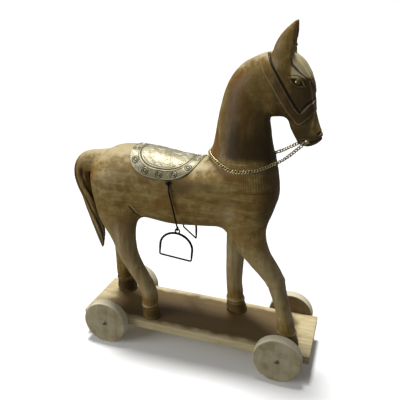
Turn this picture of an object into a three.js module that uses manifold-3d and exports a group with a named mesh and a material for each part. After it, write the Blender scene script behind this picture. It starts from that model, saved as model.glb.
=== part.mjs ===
// A carved wooden horse standing on a plank with four wooden wheels, in the manner of an old
// pull-along toy. Millimetres, +Z up. The horse looks along +X and its left side is +Y.
import * as THREE from "three";
import { mergeVertices } from "three/addons/utils/BufferGeometryUtils.js";
import Module from "manifold-3d";

const wasm = await Module();
wasm.setup();

// Plank and wheels
const PLANK_LENGTH = 370;
const PLANK_WIDTH = 106;
const PLANK_THICKNESS = 13.5;
const PLANK_CHAMFER = 1;
const WHEEL_DIAMETER = 72;
const WHEEL_THICKNESS = 16;
const WHEEL_CHAMFER = 1.4;
const WHEEL_FROM_PLANK_END = 45;
const WHEEL_SIDE_CLEARANCE = 0.5;
const WHEEL_BORE_CLEARANCE = 0.1;
const AXLE_NAIL = { shankDiameter: 3.2, headDiameter: 7, headHeight: 1.4 };
const AXLE_NAIL_DEPTH_IN_PLANK = 22;

// The horse, from the plank to the tips of its ears
const HORSE_HEIGHT = 457;

// Saddle, an embossed sheet over the back
const SADDLE_LENGTH = 108;
const SADDLE_MIDDLE_FROM_ORIGIN = -49;
const SADDLE_DROP_ANGLE = 61;
const SADDLE_THICKNESS = 1.2;
const SADDLE_GAP = 1.4;
const SADDLE_SQUARENESS = 2.5;

// Stirrups and the iron straps that carry them
const STRAP_ROD_DIAMETER = 2.6;
const STRAP_EYE_DIAMETER = 5.2;
const STRAP_EYE_WIRE = 2;
const STIRRUP_WIDTH = 50;
const STIRRUP_HEIGHT = 40;
const STIRRUP_ARCH_WIRE = 3.4;
const STIRRUP_BAR_WIRE = 2.6;
const STIRRUP_EYE_DIAMETER = 6.8;
const STIRRUP_EYE_WIRE = 2.2;
const STRAP_NAIL = { shankDiameter: 2.2, headDiameter: 6, headHeight: 1.4 };
const STRAP_NAIL_DEPTH = 12;

// Rein chain, its nails at the mouth, and the tacks for the eyes
const CHAIN_DIAMETER = 3.6;
const MOUTH_NAIL = { shankDiameter: 2, headDiameter: 6.4, headHeight: 2.2 };
const MOUTH_NAIL_DEPTH = 8;
const MOUTH_NAIL_NECK = 4.4;
const EYE_DIAMETER = 7.6;
const EYE_HEIGHT = 2.8;
const EYE_SEAT_DEPTH = 1.6;

// Fit between pieces that touch
const TOUCHING_GAP = 0.3;

const plankTop = WHEEL_DIAMETER / 2 + PLANK_THICKNESS / 2;
const NEAR = -1;
const FAR = 1;

// Materials, by the real finish
const wood = (color, roughness) => new THREE.MeshStandardMaterial({ color, roughness, metalness: 0 });
const metal = (color, roughness) => new THREE.MeshStandardMaterial({ color, roughness, metalness: 1 });
const stainedWood = wood("#8d7247", 0.5);
const plankWood = wood("#836a48", 0.6);
const wheelWood = wood("#a3977c", 0.65);
const brass = metal("#c2a765", 0.35);
const iron = metal("#3a3735", 0.5);

// A closed mesh as a solid that can be joined and cut, and the way back.
function solidOf(geometry) {
  const bare = geometry.index ? geometry.toNonIndexed() : geometry.clone();
  for (const name of Object.keys(bare.attributes)) {
    if (name !== "position") bare.deleteAttribute(name);
  }
  const merged = mergeVertices(bare, 1e-3);
  const vertProperties = merged.attributes.position.array;
  const triVerts = new Uint32Array(merged.index.array);
  return new wasm.Manifold(new wasm.Mesh({ numProp: 3, vertProperties, triVerts }));
}

function geometryOf(solid) {
  const mesh = solid.getMesh();
  const geometry = new THREE.BufferGeometry();
  geometry.setAttribute("position", new THREE.BufferAttribute(mesh.vertProperties, 3));
  geometry.setIndex(new THREE.BufferAttribute(mesh.triVerts, 1));
  const flat = geometry.toNonIndexed();
  flat.computeVertexNormals();
  return flat;
}

// Carving. A limb is a chain of oval sections along a smooth line. Each station is
// [x, y, z, half thickness seen from the side, half width across], drawn at DRAWN_HEIGHT above the plank.
const DRAWN_HEIGHT = 457;
const STEPS_PER_STATION = 4;
const ROUND_SECTION = 2;
const SLAB_SECTION = 2.5;

function smoothStation(stations, index, t) {
  const at = (i) => stations[Math.min(Math.max(i, 0), stations.length - 1)];
  const [a, b, c, d] = [at(index - 1), at(index), at(index + 1), at(index + 2)];
  return b.map((value, n) => {
    const slope = (c[n] - a[n]) / 2;
    const nextSlope = (d[n] - b[n]) / 2;
    const rise = c[n] - b[n];
    return value + t * (slope + t * (3 * rise - 2 * slope - nextSlope + t * (slope + nextSlope - 2 * rise)));
  });
}

function limb(stations, { blend = 12, section = ROUND_SECTION } = {}) {
  const line = [];
  for (let i = 0; i < stations.length - 1; i += 1) {
    for (let step = 0; step < STEPS_PER_STATION; step += 1) {
      line.push(smoothStation(stations, i, step / STEPS_PER_STATION));
    }
  }
  line.push(stations[stations.length - 1]);
  const links = line.slice(1).map((end, i) => {
    const start = line[i];
    const from = new THREE.Vector3(...start);
    const run = new THREE.Vector3(...end).sub(from);
    const length = run.length();
    const along = run.clone().divideScalar(length);
    const across = new THREE.Vector3(0, 1, 0).addScaledVector(along, -along.y).normalize();
    const side = new THREE.Vector3().crossVectors(along, across);
    const reach = length + Math.max(start[3], start[4], end[3], end[4]);
    return { from, length, along, across, side, start, end, reach };
  });
  const centre = new THREE.Vector3(...line[Math.floor(line.length / 2)]);
  const reach = Math.max(...links.map((link) => link.from.distanceTo(centre) + link.reach));
  return { links, blend, section, centre, reach };
}

const offset = new THREE.Vector3();

function distanceToLimb({ links, section }, point) {
  const power = section === ROUND_SECTION ? (share) => share * share : (share) => share ** section;
  const root = section === ROUND_SECTION ? Math.sqrt : (sum) => sum ** (1 / section);
  let nearest = Infinity;
  for (const { from, length, along, across, side, start, end, reach } of links) {
    offset.subVectors(point, from);
    if (offset.length() - reach > nearest) continue;
    const travel = offset.dot(along);
    const t = Math.min(Math.max(travel / length, 0), 1);
    const thick = start[3] + t * (end[3] - start[3]);
    const wide = start[4] + t * (end[4] - start[4]);
    const cap = Math.min(thick, wide);
    const sideShare = Math.abs(offset.dot(side)) / thick;
    const acrossShare = Math.abs(offset.dot(across)) / wide;
    const endShare = Math.abs(travel - t * length) / cap;
    const size = root(power(sideShare) + power(acrossShare) + power(endShare));
    if (size < 1e-6) return -cap;
    const slope = Math.hypot(
      power(sideShare / size) / sideShare / thick || 0,
      power(acrossShare / size) / acrossShare / wide || 0,
      power(endShare / size) / endShare / cap || 0,
    );
    nearest = Math.min(nearest, (size - 1) / slope / size);
  }
  return nearest;
}

function smoothUnion(a, b, blend) {
  const near = Math.max(blend - Math.abs(a - b), 0) / blend;
  return Math.min(a, b) - (near * near * blend) / 4;
}

// The horse's pose. Legs are drawn for one side and set out to that side.
const mirrored = (stations, side) => stations.map(([x, y, ...rest]) => [x, side * y, ...rest]);

const trunk = limb(
  [
    [-137, 0, 223, 39, 37],
    [-120, 0, 225, 48, 44],
    [-98, 0, 223, 52, 47],
    [-72, 0, 219.5, 53.5, 47.5],
    [-42, 0, 215.5, 53, 47],
    [-10, 0, 215, 51, 46.5],
    [20, 0, 218, 51, 46],
    [48, 0, 222, 51, 44],
    [73, 0, 228, 46, 38],
  ],
  { section: SLAB_SECTION },
);

const neck = limb(
  [
    [62.5, 0, 232, 52.5, 38],
    [62.5, 0, 255, 50, 36.5],
    [61.5, 0, 279, 45.7, 33.5],
    [61, 0, 307, 39.5, 30.5],
    [62, 0, 337, 34.5, 28],
    [66.5, 0, 361, 32.5, 26.5],
    [76, 0, 377, 31.5, 25],
    [88, 0, 384, 31, 23],
  ],
  { blend: 12 },
);

const head = limb(
  [
    [88, 0, 386, 30, 21],
    [98, 0, 382.5, 38.5, 22],
    [107.5, 0, 376.5, 43, 22.5],
    [117.5, 0, 370.5, 37.5, 22],
    [126, 0, 362, 28.5, 20.5],
    [136.5, 0, 344, 19.5, 16.5],
    [142.5, 0, 327.5, 18.7, 14],
    [150.5, 0, 311.5, 17.5, 12.5],
  ],
  { blend: 5, section: SLAB_SECTION },
);

const nearForeLeg = [
  [74, 20, 198, 33, 22],
  [79, 26, 168, 27, 20],
  [97, 30, 139, 18.5, 17],
  [120.5, 31, 109.5, 14.3, 14],
  [131, 31, 82, 11.7, 12.5],
  [138.5, 31, 56, 11.2, 12],
  [143, 31, 38, 12.8, 13.3],
  [146, 31, 24, 12.6, 13],
  [147, 31, 15, 10, 10],
];

const farForeLeg = [
  [66, 20, 198, 32, 22],
  [58, 26, 160, 24, 20],
  [51, 30, 128, 17, 17],
  [48.5, 31, 98, 14.5, 15],
  [48, 31, 72, 13.5, 14],
  [48.5, 31, 48, 12.5, 13],
  [50, 31, 35, 13.5, 13.5],
  [51, 31, 24, 12.6, 13],
  [52, 31, 15, 10, 10],
];

const nearHindLeg = [
  [-123, 20, 217, 41, 26],
  [-126, 25, 190, 36.5, 24],
  [-123, 29, 166, 31, 20],
  [-117.5, 31, 143, 21.5, 17],
  [-114, 31, 125, 18, 15],
  [-109, 31, 106, 15.5, 14],
  [-99, 31, 87, 13.5, 13],
  [-89, 31, 71, 12.5, 12.5],
  [-80, 31, 55, 12, 12.5],
  [-75.5, 31, 40, 13, 13.5],
  [-74, 31, 24, 12.3, 12.8],
  [-73, 31, 15, 10, 10],
];

const farHindLeg = [
  [-123, 20, 217, 41, 26],
  [-130, 25, 186, 35, 24],
  [-140, 29, 152, 25, 19],
  [-149, 31, 118, 17, 15.5],
  [-152, 31, 88, 14, 14],
  [-152.5, 31, 58, 12.5, 13],
  [-152, 31, 38, 13, 13.5],
  [-151, 31, 24, 12.6, 13],
  [-150, 31, 15, 10, 10],
];

const limbs = [
  neck,
  head,
  limb(mirrored(nearForeLeg, NEAR), { blend: 16 }),
  limb(mirrored(farForeLeg, FAR), { blend: 16 }),
  limb(mirrored(nearHindLeg, NEAR), { blend: 16 }),
  limb(mirrored(farHindLeg, FAR), { blend: 16 }),
];

// The bridle strap, seen from the side: from the crown behind the ears down the cheek, then up over the nose.
const BRIDLE_LINE = [
  [90, 411],
  [93, 399],
  [102, 385],
  [116, 365],
  [127, 349],
  [137, 338],
  [145, 346],
  [152, 358],
];
const BRIDLE_HALF_WIDTH = 6.5;
const BRIDLE_HEIGHT = 1.4;
const BRIDLE_FADE = 2.5;

function distanceToLine(line, x, z) {
  let nearest = Infinity;
  for (let i = 1; i < line.length; i += 1) {
    const [x0, z0] = line[i - 1];
    const [x1, z1] = line[i];
    const t = ((x - x0) * (x1 - x0) + (z - z0) * (z1 - z0)) / ((x1 - x0) ** 2 + (z1 - z0) ** 2);
    const clamped = Math.min(Math.max(t, 0), 1);
    nearest = Math.min(nearest, Math.hypot(x - x0 - clamped * (x1 - x0), z - z0 - clamped * (z1 - z0)));
  }
  return nearest;
}

function bridleRelief(point) {
  if (point.z < 320 || Math.abs(point.y) < 4) return 0;
  const beyond = distanceToLine(BRIDLE_LINE, point.x, point.z) - BRIDLE_HALF_WIDTH;
  return BRIDLE_HEIGHT * (1 - THREE.MathUtils.smoothstep(beyond, -BRIDLE_FADE, 0));
}

// How far a point drawn at DRAWN_HEIGHT lies outside the carved surface, negative inside.
function distanceToHorse(point) {
  let distance = distanceToLimb(trunk, point);
  for (const part of limbs) {
    if (point.distanceTo(part.centre) - part.reach > distance + part.blend) continue;
    distance = smoothUnion(distance, distanceToLimb(part, point), part.blend);
  }
  return distance - bridleRelief(point);
}

// Moves a point straight in or out until it lies at a height above the carved surface.
const SLOPE_STEP = 0.4;
const LONGEST_MOVE = 2.5;

function settle(point, height = 0, tries = 1) {
  for (let i = 0; i < tries; i += 1) {
    const here = distanceToHorse(point);
    const rise = (x, y, z) => distanceToHorse(new THREE.Vector3(x, y, z).add(point)) - here;
    const slope = new THREE.Vector3(rise(SLOPE_STEP, 0, 0), rise(0, SLOPE_STEP, 0), rise(0, 0, SLOPE_STEP));
    slope.divideScalar(SLOPE_STEP);
    const miss = (height - here) / Math.max(slope.length(), 0.5);
    point.addScaledVector(slope.normalize(), THREE.MathUtils.clamp(miss, -LONGEST_MOVE, LONGEST_MOVE));
  }
  return point;
}

// The facets follow a grid whose steps are short where the carving is fine.
function gridLines(start, ...stretches) {
  const lines = [start];
  for (const [end, step] of stretches) {
    const from = lines[lines.length - 1];
    const count = Math.max(1, Math.round((end - from) / step));
    for (let i = 1; i <= count; i += 1) lines.push(from + ((end - from) * i) / count);
  }
  return lines;
}

const gridX = gridLines(-206, [-60, 11.2], [30, 15], [85, 11], [178, 6.9]);
const gridY = gridLines(-60, [60, 9]);
const gridZ = gridLines(-22, [150, 14], [295, 14], [325, 10.5], [438, 6.9]);

const EVENING_PASSES = 5;
const EVENING_SHARE = 0.6;

// Draws each vertex towards the middle of its neighbours and back onto the carved surface.
function evenOut(vertices, facets) {
  const sums = vertices.map(() => new THREE.Vector3());
  const counts = new Array(vertices.length).fill(0);
  for (const facet of facets) {
    for (let n = 0; n < 4; n += 1) {
      sums[facet[n]].add(vertices[facet[(n + 1) % 4]]);
      sums[facet[n]].add(vertices[facet[(n + 3) % 4]]);
      counts[facet[n]] += 2;
    }
  }
  vertices.forEach((vertex, n) => {
    vertex.lerp(sums[n].divideScalar(counts[n]), EVENING_SHARE);
    settle(vertex);
  });
}

// Parts a four-sided facet along the diagonal that lies closer to the carved surface.
function halves(vertices, [a, b, c, d]) {
  const miss = (m, n) => Math.abs(distanceToHorse(vertices[m].clone().lerp(vertices[n], 0.5)));
  return miss(a, c) < miss(b, d) ? [a, b, c, a, c, d] : [a, b, d, b, c, d];
}

// One vertex for each grid cell that the surface passes through, and one four-sided facet for each grid
// edge that crosses it.
function carvedSurface() {
  const [nx, ny, nz] = [gridX.length, gridY.length, gridZ.length];
  const at = (i, j, k) => (k * ny + j) * nx + i;
  const corner = (i, j, k) => new THREE.Vector3(gridX[i], gridY[j], gridZ[k]);
  const field = new Float64Array(nx * ny * nz);
  for (let k = 0; k < nz; k += 1) {
    for (let j = 0; j < ny; j += 1) {
      for (let i = 0; i < nx; i += 1) field[at(i, j, k)] = distanceToHorse(corner(i, j, k));
    }
  }
  const axes = [
    [1, 0, 0],
    [0, 1, 0],
    [0, 0, 1],
  ];
  const cellVertex = new Map();
  const vertices = [];
  const vertexOfCell = (i, j, k) => {
    const key = at(i, j, k);
    if (cellVertex.has(key)) return cellVertex.get(key);
    const sum = new THREE.Vector3();
    let crossings = 0;
    for (const [axis, [dx, dy, dz]] of axes.entries()) {
      for (let n = 0; n < 4; n += 1) {
        const spread = [n & 1, n >> 1];
        const [a, b, c] = [0, 1, 2].map((m) => (m === axis ? 0 : spread.shift()));
        const low = field[at(i + a, j + b, k + c)];
        const high = field[at(i + a + dx, j + b + dy, k + c + dz)];
        if (low < 0 === high < 0) continue;
        const start = corner(i + a, j + b, k + c);
        const end = corner(i + a + dx, j + b + dy, k + c + dz);
        sum.add(start.lerp(end, low / (low - high)));
        crossings += 1;
      }
    }
    vertices.push(settle(sum.divideScalar(crossings)));
    cellVertex.set(key, vertices.length - 1);
    return vertices.length - 1;
  };
  const facets = [];
  const addFacet = (loop, flipped) => facets.push(flipped ? loop.reverse() : loop);
  for (let k = 1; k < nz - 1; k += 1) {
    for (let j = 1; j < ny - 1; j += 1) {
      for (let i = 1; i < nx - 1; i += 1) {
        const here = field[at(i, j, k)] < 0;
        if (here !== field[at(i + 1, j, k)] < 0) {
          const loop = [vertexOfCell(i, j - 1, k - 1), vertexOfCell(i, j, k - 1)];
          loop.push(vertexOfCell(i, j, k), vertexOfCell(i, j - 1, k));
          addFacet(loop, !here);
        }
        if (here !== field[at(i, j + 1, k)] < 0) {
          const loop = [vertexOfCell(i - 1, j, k - 1), vertexOfCell(i - 1, j, k)];
          loop.push(vertexOfCell(i, j, k), vertexOfCell(i, j, k - 1));
          addFacet(loop, !here);
        }
        if (here !== field[at(i, j, k + 1)] < 0) {
          const loop = [vertexOfCell(i - 1, j - 1, k), vertexOfCell(i, j - 1, k)];
          loop.push(vertexOfCell(i, j, k), vertexOfCell(i - 1, j, k));
          addFacet(loop, !here);
        }
      }
    }
  }
  for (let pass = 0; pass < EVENING_PASSES; pass += 1) evenOut(vertices, facets);
  const geometry = new THREE.BufferGeometry();
  const positions = vertices.flatMap((vertex) => [vertex.x, vertex.y, vertex.z]);
  geometry.setAttribute("position", new THREE.Float32BufferAttribute(positions, 3));
  geometry.setIndex(facets.flatMap((facet) => halves(vertices, facet)));
  return geometry;
}

// A closed tube of oval rings through a limb's stations, for the parts that are carved crisply. The
// section function gives each ring's outline as a share of its two half widths.
function loft(stations, sides, { steps = 2, section = () => 1, level = false } = {}) {
  const line = [];
  for (let i = 0; i < stations.length - 1; i += 1) {
    for (let step = 0; step < steps; step += 1) line.push(smoothStation(stations, i, step / steps));
  }
  line.push(stations[stations.length - 1]);
  const positions = [];
  line.forEach((station, ring) => {
    const before = line[Math.max(ring - 1, 0)];
    const after = line[Math.min(ring + 1, line.length - 1)];
    const along = new THREE.Vector3(...after).sub(new THREE.Vector3(...before)).normalize();
    if (level) along.set(0, 0, -1);
    const across = new THREE.Vector3(0, 1, 0).addScaledVector(along, -along.y).normalize();
    const side = new THREE.Vector3().crossVectors(along, across);
    for (let n = 0; n < sides; n += 1) {
      const angle = (2 * Math.PI * n) / sides;
      const share = section(angle, ring / (line.length - 1));
      const point = new THREE.Vector3(...station);
      point.addScaledVector(side, share * station[3] * Math.cos(angle));
      point.addScaledVector(across, share * station[4] * Math.sin(angle));
      positions.push(point.x, point.y, point.z);
    }
  });
  const faces = [];
  for (let ring = 0; ring < line.length - 1; ring += 1) {
    for (let n = 0; n < sides; n += 1) {
      const next = (n + 1) % sides;
      const [a, b] = [ring * sides + n, ring * sides + next];
      const [c, d] = [a + sides, b + sides];
      faces.push(a, b, d, a, d, c);
    }
  }
  const last = (line.length - 1) * sides;
  for (let n = 1; n < sides - 1; n += 1) {
    faces.push(0, n + 1, n);
    faces.push(last, last + n, last + n + 1);
  }
  const geometry = new THREE.BufferGeometry();
  geometry.setAttribute("position", new THREE.Float32BufferAttribute(positions, 3));
  geometry.setIndex(faces);
  const solid = solidOf(geometry);
  return solid.volume() > 0 ? solid : solidOf(turnedOver(geometry));
}

function turnedOver(geometry) {
  const turned = geometry.clone();
  turned.setIndex([...geometry.index.array].reverse());
  return turned;
}

// Ears: pointed leaves, scooped out in front.
const EAR_SIDES = 10;
const ear = [
  [110, 14, 390, 10, 7.5],
  [110, 13.8, 402, 13.5, 7.5],
  [111.5, 13.5, 414, 16, 7],
  [114, 12.5, 427, 14.5, 6.3],
  [117.5, 11, 440, 10, 5.2],
  [121, 9.5, 450, 5, 3.6],
  [124, 8.5, 457, 1, 1],
];
const earScoop = [
  [124, 14.5, 402, 3, 2],
  [126, 14, 413, 8, 3.6],
  [128, 13, 426, 9, 3.6],
  [127.5, 11, 439, 6, 2.8],
  [126, 9.5, 449, 2, 1.2],
];

function carvedEar(side) {
  const leaf = loft(mirrored(ear, side), EAR_SIDES, { steps: 1 });
  return leaf.subtract(loft(mirrored(earScoop, side), 8, { steps: 1 }));
}

// Tail: a block that carries on the croup, turns down and hangs as one twisted hank of hair.
const TAIL_SIDES = 10;
const TAIL_STRANDS = 3;
const TAIL_GROOVE = 0.09;
const TAIL_TWIST = 5;
const tail = [
  [-140, 0, 245, 22, 20],
  [-170, 0, 243, 20, 18],
  [-188, 0, 240, 18, 17],
  [-199, 0, 225, 13.5, 15.5],
  [-199.5, 0, 206, 11, 14.5],
  [-191.5, 0, 181, 10.5, 13],
  [-185, 0, 157, 10.5, 12],
  [-179, 0, 135, 10, 10.5],
  [-175, 0, 114, 7.5, 8],
  [-173.5, 0, 91, 1.5, 2],
];

function carvedTail() {
  const strands = (angle, along) => {
    const depth = TAIL_GROOVE * THREE.MathUtils.smoothstep(along, 0.25, 0.45);
    return 1 + depth * (Math.cos(TAIL_STRANDS * angle + TAIL_TWIST * along) - 1);
  };
  return loft(tail, TAIL_SIDES, { steps: 2, section: strands });
}

// Hooves: a raised coronet band above a block that flares down to the plank, leaning towards the toe.
const HOOF_SIDES = 12;
const hoofBands = [
  [-2, 26.5, 12],
  [-1, 24, 14],
  [-0.5, 20, 14.3],
  [-0.3, 18.5, 13.4],
  [1, 9, 15.2],
  [2.5, 0, 17.2],
];

function hoof(x, side, length) {
  const stations = hoofBands.map(([lean, z, half]) => [x + lean, side * 31, z, half * length, half]);
  return loft(stations, HOOF_SIDES, { steps: 1, level: true });
}

// Points given at DRAWN_HEIGHT, brought to the horse's real size.
const scaleOfHorse = HORSE_HEIGHT / DRAWN_HEIGHT;
const onHorse = (x, y, z) => new THREE.Vector3(x, y, z).multiplyScalar(scaleOfHorse);

function onHorseSurface(x, y, z, height = 0) {
  const point = settle(new THREE.Vector3(x, y, z), height / scaleOfHorse, 4);
  return point.multiplyScalar(scaleOfHorse);
}

// Turned pieces: a profile of [radius, place along +Y] spun about the Y axis.
function turned(profile, segments) {
  const points = profile.map(([radius, along]) => new THREE.Vector2(radius, along));
  const geometry = new THREE.LatheGeometry(points, segments);
  const solid = solidOf(geometry);
  return solid.volume() > 0 ? solid : solidOf(turnedOver(geometry));
}

// A nail pointing along -Y, with the underside of its head at the origin.
const NAIL_SIDES = 8;

function nail({ shankDiameter, headDiameter, headHeight }, length) {
  const profile = [
    [0, -length],
    [shankDiameter / 2, -length],
    [shankDiameter / 2, 0],
    [headDiameter / 2, 0],
    [headDiameter * 0.35, headHeight * 0.8],
    [0, headHeight],
  ];
  return turned(profile, NAIL_SIDES);
}

// The hole that a nail or a tack sits in, from a point outwards along side * Y.
function drilled(point, side, diameter, depth) {
  const reach = depth + diameter;
  const hole = new THREE.CylinderGeometry(diameter / 2, diameter / 2, reach, NAIL_SIDES);
  return solidOf(hole.translate(point.x, point.y + side * (reach / 2 - depth), point.z));
}

// A closed ring of wire in the XZ plane. The points run round it; the radius may change along it.
function wireLoop(points, radiusAt, sides) {
  const positions = [];
  points.forEach((point, n) => {
    const before = points[(n + points.length - 1) % points.length];
    const after = points[(n + 1) % points.length];
    const along = after.clone().sub(before).normalize();
    const outward = new THREE.Vector3(along.z, 0, -along.x);
    for (let k = 0; k < sides; k += 1) {
      const angle = (2 * Math.PI * k) / sides;
      const spot = point.clone().addScaledVector(outward, radiusAt(point) * Math.cos(angle));
      spot.y += radiusAt(point) * Math.sin(angle);
      positions.push(spot.x, spot.y, spot.z);
    }
  });
  const faces = [];
  for (let n = 0; n < points.length; n += 1) {
    const following = (n + 1) % points.length;
    for (let k = 0; k < sides; k += 1) {
      const [a, b] = [n * sides + k, n * sides + ((k + 1) % sides)];
      const [c, d] = [following * sides + k, following * sides + ((k + 1) % sides)];
      faces.push(a, b, d, a, d, c);
    }
  }
  const geometry = new THREE.BufferGeometry();
  geometry.setAttribute("position", new THREE.Float32BufferAttribute(positions, 3));
  geometry.setIndex(faces);
  const solid = solidOf(geometry);
  return solid.volume() > 0 ? solid : solidOf(turnedOver(geometry));
}

const WIRE_SIDES = 6;
const EYE_STEPS = 8;

function wireEye(diameter, wire) {
  const points = [];
  for (let n = 0; n < EYE_STEPS; n += 1) {
    const angle = (2 * Math.PI * n) / EYE_STEPS;
    points.push(new THREE.Vector3(Math.cos(angle), 0, Math.sin(angle)).multiplyScalar(diameter / 2));
  }
  return wireLoop(points, () => wire / 2, WIRE_SIDES);
}

// A straight or bent rod through points, as a tube with flat ends.
function rod(points, diameter, steps, sides = WIRE_SIDES) {
  const section = new THREE.Shape();
  for (let k = 0; k < sides; k += 1) {
    const angle = (2 * Math.PI * k) / sides;
    const corner = [(diameter / 2) * Math.cos(angle), (diameter / 2) * Math.sin(angle)];
    if (k === 0) section.moveTo(...corner);
    else section.lineTo(...corner);
  }
  const extrudePath = new THREE.CatmullRomCurve3(points);
  return solidOf(new THREE.ExtrudeGeometry(section, { steps, extrudePath, bevelEnabled: false }));
}

// Where the fittings sit on the horse
const strapNailAt = {
  [NEAR]: onHorseSurface(-34, NEAR * 44, 239.5),
  [FAR]: onHorseSurface(-35, FAR * 44, 234.5),
};
const mouthNailAt = {
  [NEAR]: onHorseSurface(149.5, NEAR * 13, 308.5),
  [FAR]: onHorseSurface(149.5, FAR * 13, 308.5),
};
const eyeAt = {
  [NEAR]: onHorseSurface(131.5, NEAR * 20, 383.5),
  [FAR]: onHorseSurface(131.5, FAR * 20, 383.5),
};

const SHORTEST_EDGE = 0.05;

function carvedHorse() {
  const crisp = [
    carvedEar(NEAR),
    carvedEar(FAR),
    carvedTail(),
    hoof(147, NEAR, 1.05),
    hoof(52, FAR, 1.08),
    hoof(-75, NEAR, 0.9),
    hoof(-149, FAR, 1.08),
  ];
  const rough = crisp.reduce((body, piece) => body.add(piece), solidOf(carvedSurface()));
  const sized = geometryOf(rough).scale(scaleOfHorse, scaleOfHorse, scaleOfHorse);
  const room = 2 * TOUCHING_GAP;
  const holes = [NEAR, FAR].flatMap((side) => [
    drilled(strapNailAt[side], side, STRAP_NAIL.shankDiameter + room, STRAP_NAIL_DEPTH + TOUCHING_GAP),
    drilled(mouthNailAt[side], side, MOUTH_NAIL.shankDiameter + room, MOUTH_NAIL_DEPTH + TOUCHING_GAP),
    drilled(eyeAt[side], side, EYE_DIAMETER + room, EYE_SEAT_DEPTH),
  ]);
  return holes.reduce((body, hole) => body.subtract(hole), solidOf(sized)).simplify(SHORTEST_EDGE);
}

function plank() {
  const outline = new THREE.Shape();
  const [halfLength, halfWidth] = [PLANK_LENGTH / 2 - PLANK_CHAMFER, PLANK_WIDTH / 2 - PLANK_CHAMFER];
  outline.moveTo(-halfLength, -halfWidth);
  outline.lineTo(halfLength, -halfWidth);
  outline.lineTo(halfLength, halfWidth);
  outline.lineTo(-halfLength, halfWidth);
  const board = new THREE.ExtrudeGeometry(outline, {
    depth: PLANK_THICKNESS - 2 * PLANK_CHAMFER,
    bevelThickness: PLANK_CHAMFER,
    bevelSize: PLANK_CHAMFER,
    bevelSegments: 1,
  });
  board.translate(0, 0, PLANK_CHAMFER - PLANK_THICKNESS);
  let solid = solidOf(board);
  const holeDiameter = AXLE_NAIL.shankDiameter + 2 * TOUCHING_GAP;
  for (const end of [-1, 1]) {
    for (const side of [NEAR, FAR]) {
      const edge = new THREE.Vector3(end * wheelX, (side * PLANK_WIDTH) / 2, -PLANK_THICKNESS / 2);
      solid = solid.subtract(drilled(edge, side, holeDiameter, AXLE_NAIL_DEPTH_IN_PLANK + TOUCHING_GAP));
    }
  }
  return solid;
}

const wheelX = PLANK_LENGTH / 2 - WHEEL_FROM_PLANK_END;
const wheelY = PLANK_WIDTH / 2 + WHEEL_SIDE_CLEARANCE + WHEEL_THICKNESS / 2;
const WHEEL_SIDES = 24;

function wheel() {
  const bore = AXLE_NAIL.shankDiameter / 2 + WHEEL_BORE_CLEARANCE;
  const rim = WHEEL_DIAMETER / 2;
  const half = WHEEL_THICKNESS / 2;
  const profile = [
    [bore, -half],
    [rim - WHEEL_CHAMFER, -half],
    [rim, WHEEL_CHAMFER - half],
    [rim, half - WHEEL_CHAMFER],
    [rim - WHEEL_CHAMFER, half],
    [bore, half],
    [bore, -half],
  ];
  return turned(profile, WHEEL_SIDES);
}

// The saddle lies a gap above the horse's back. Its outline is a squared oval in length and in angle about
// the barrel's middle line.
const SADDLE_RINGS = 5;
const SADDLE_SPOKES = 26;
const BARREL_MIDDLE = 217;
const BARREL_RADIUS = 52;

function saddleSpot(ring, spoke, height) {
  const share = ring / SADDLE_RINGS;
  const turn = (2 * Math.PI * spoke) / SADDLE_SPOKES;
  const squared = (value) => Math.sign(value) * Math.abs(value) ** (2 / SADDLE_SQUARENESS);
  const x = SADDLE_MIDDLE_FROM_ORIGIN + (share * squared(Math.cos(turn)) * SADDLE_LENGTH) / 2;
  const angle = THREE.MathUtils.degToRad(share * squared(Math.sin(turn)) * SADDLE_DROP_ANGLE);
  const [y, z] = [BARREL_RADIUS * Math.sin(angle), BARREL_MIDDLE + BARREL_RADIUS * Math.cos(angle)];
  return onHorseSurface(x / scaleOfHorse, y, z, height);
}

function saddle() {
  const positions = [];
  const faces = [];
  const layer = (height, facing) => {
    const first = positions.length / 3;
    const middle = saddleSpot(0, 0, height);
    positions.push(middle.x, middle.y, middle.z);
    for (let ring = 1; ring <= SADDLE_RINGS; ring += 1) {
      for (let spoke = 0; spoke < SADDLE_SPOKES; spoke += 1) {
        const spot = saddleSpot(ring, spoke, height);
        positions.push(spot.x, spot.y, spot.z);
      }
    }
    const index = (ring, spoke) => first + 1 + (ring - 1) * SADDLE_SPOKES + (spoke % SADDLE_SPOKES);
    const add = (...corners) => faces.push(...(facing > 0 ? corners : corners.reverse()));
    for (let spoke = 0; spoke < SADDLE_SPOKES; spoke += 1) {
      add(first, index(1, spoke), index(1, spoke + 1));
      for (let ring = 1; ring < SADDLE_RINGS; ring += 1) {
        add(index(ring, spoke), index(ring + 1, spoke), index(ring + 1, spoke + 1));
        add(index(ring, spoke), index(ring + 1, spoke + 1), index(ring, spoke + 1));
      }
    }
    return (spoke) => index(SADDLE_RINGS, spoke);
  };
  const lowerRim = layer(SADDLE_GAP, -1);
  const upperRim = layer(SADDLE_GAP + SADDLE_THICKNESS, 1);
  for (let spoke = 0; spoke < SADDLE_SPOKES; spoke += 1) {
    faces.push(lowerRim(spoke), lowerRim(spoke + 1), upperRim(spoke + 1));
    faces.push(lowerRim(spoke), upperRim(spoke + 1), upperRim(spoke));
  }
  const geometry = new THREE.BufferGeometry();
  geometry.setAttribute("position", new THREE.Float32BufferAttribute(positions, 3));
  geometry.setIndex(faces);
  return solidOf(geometry);
}

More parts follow.
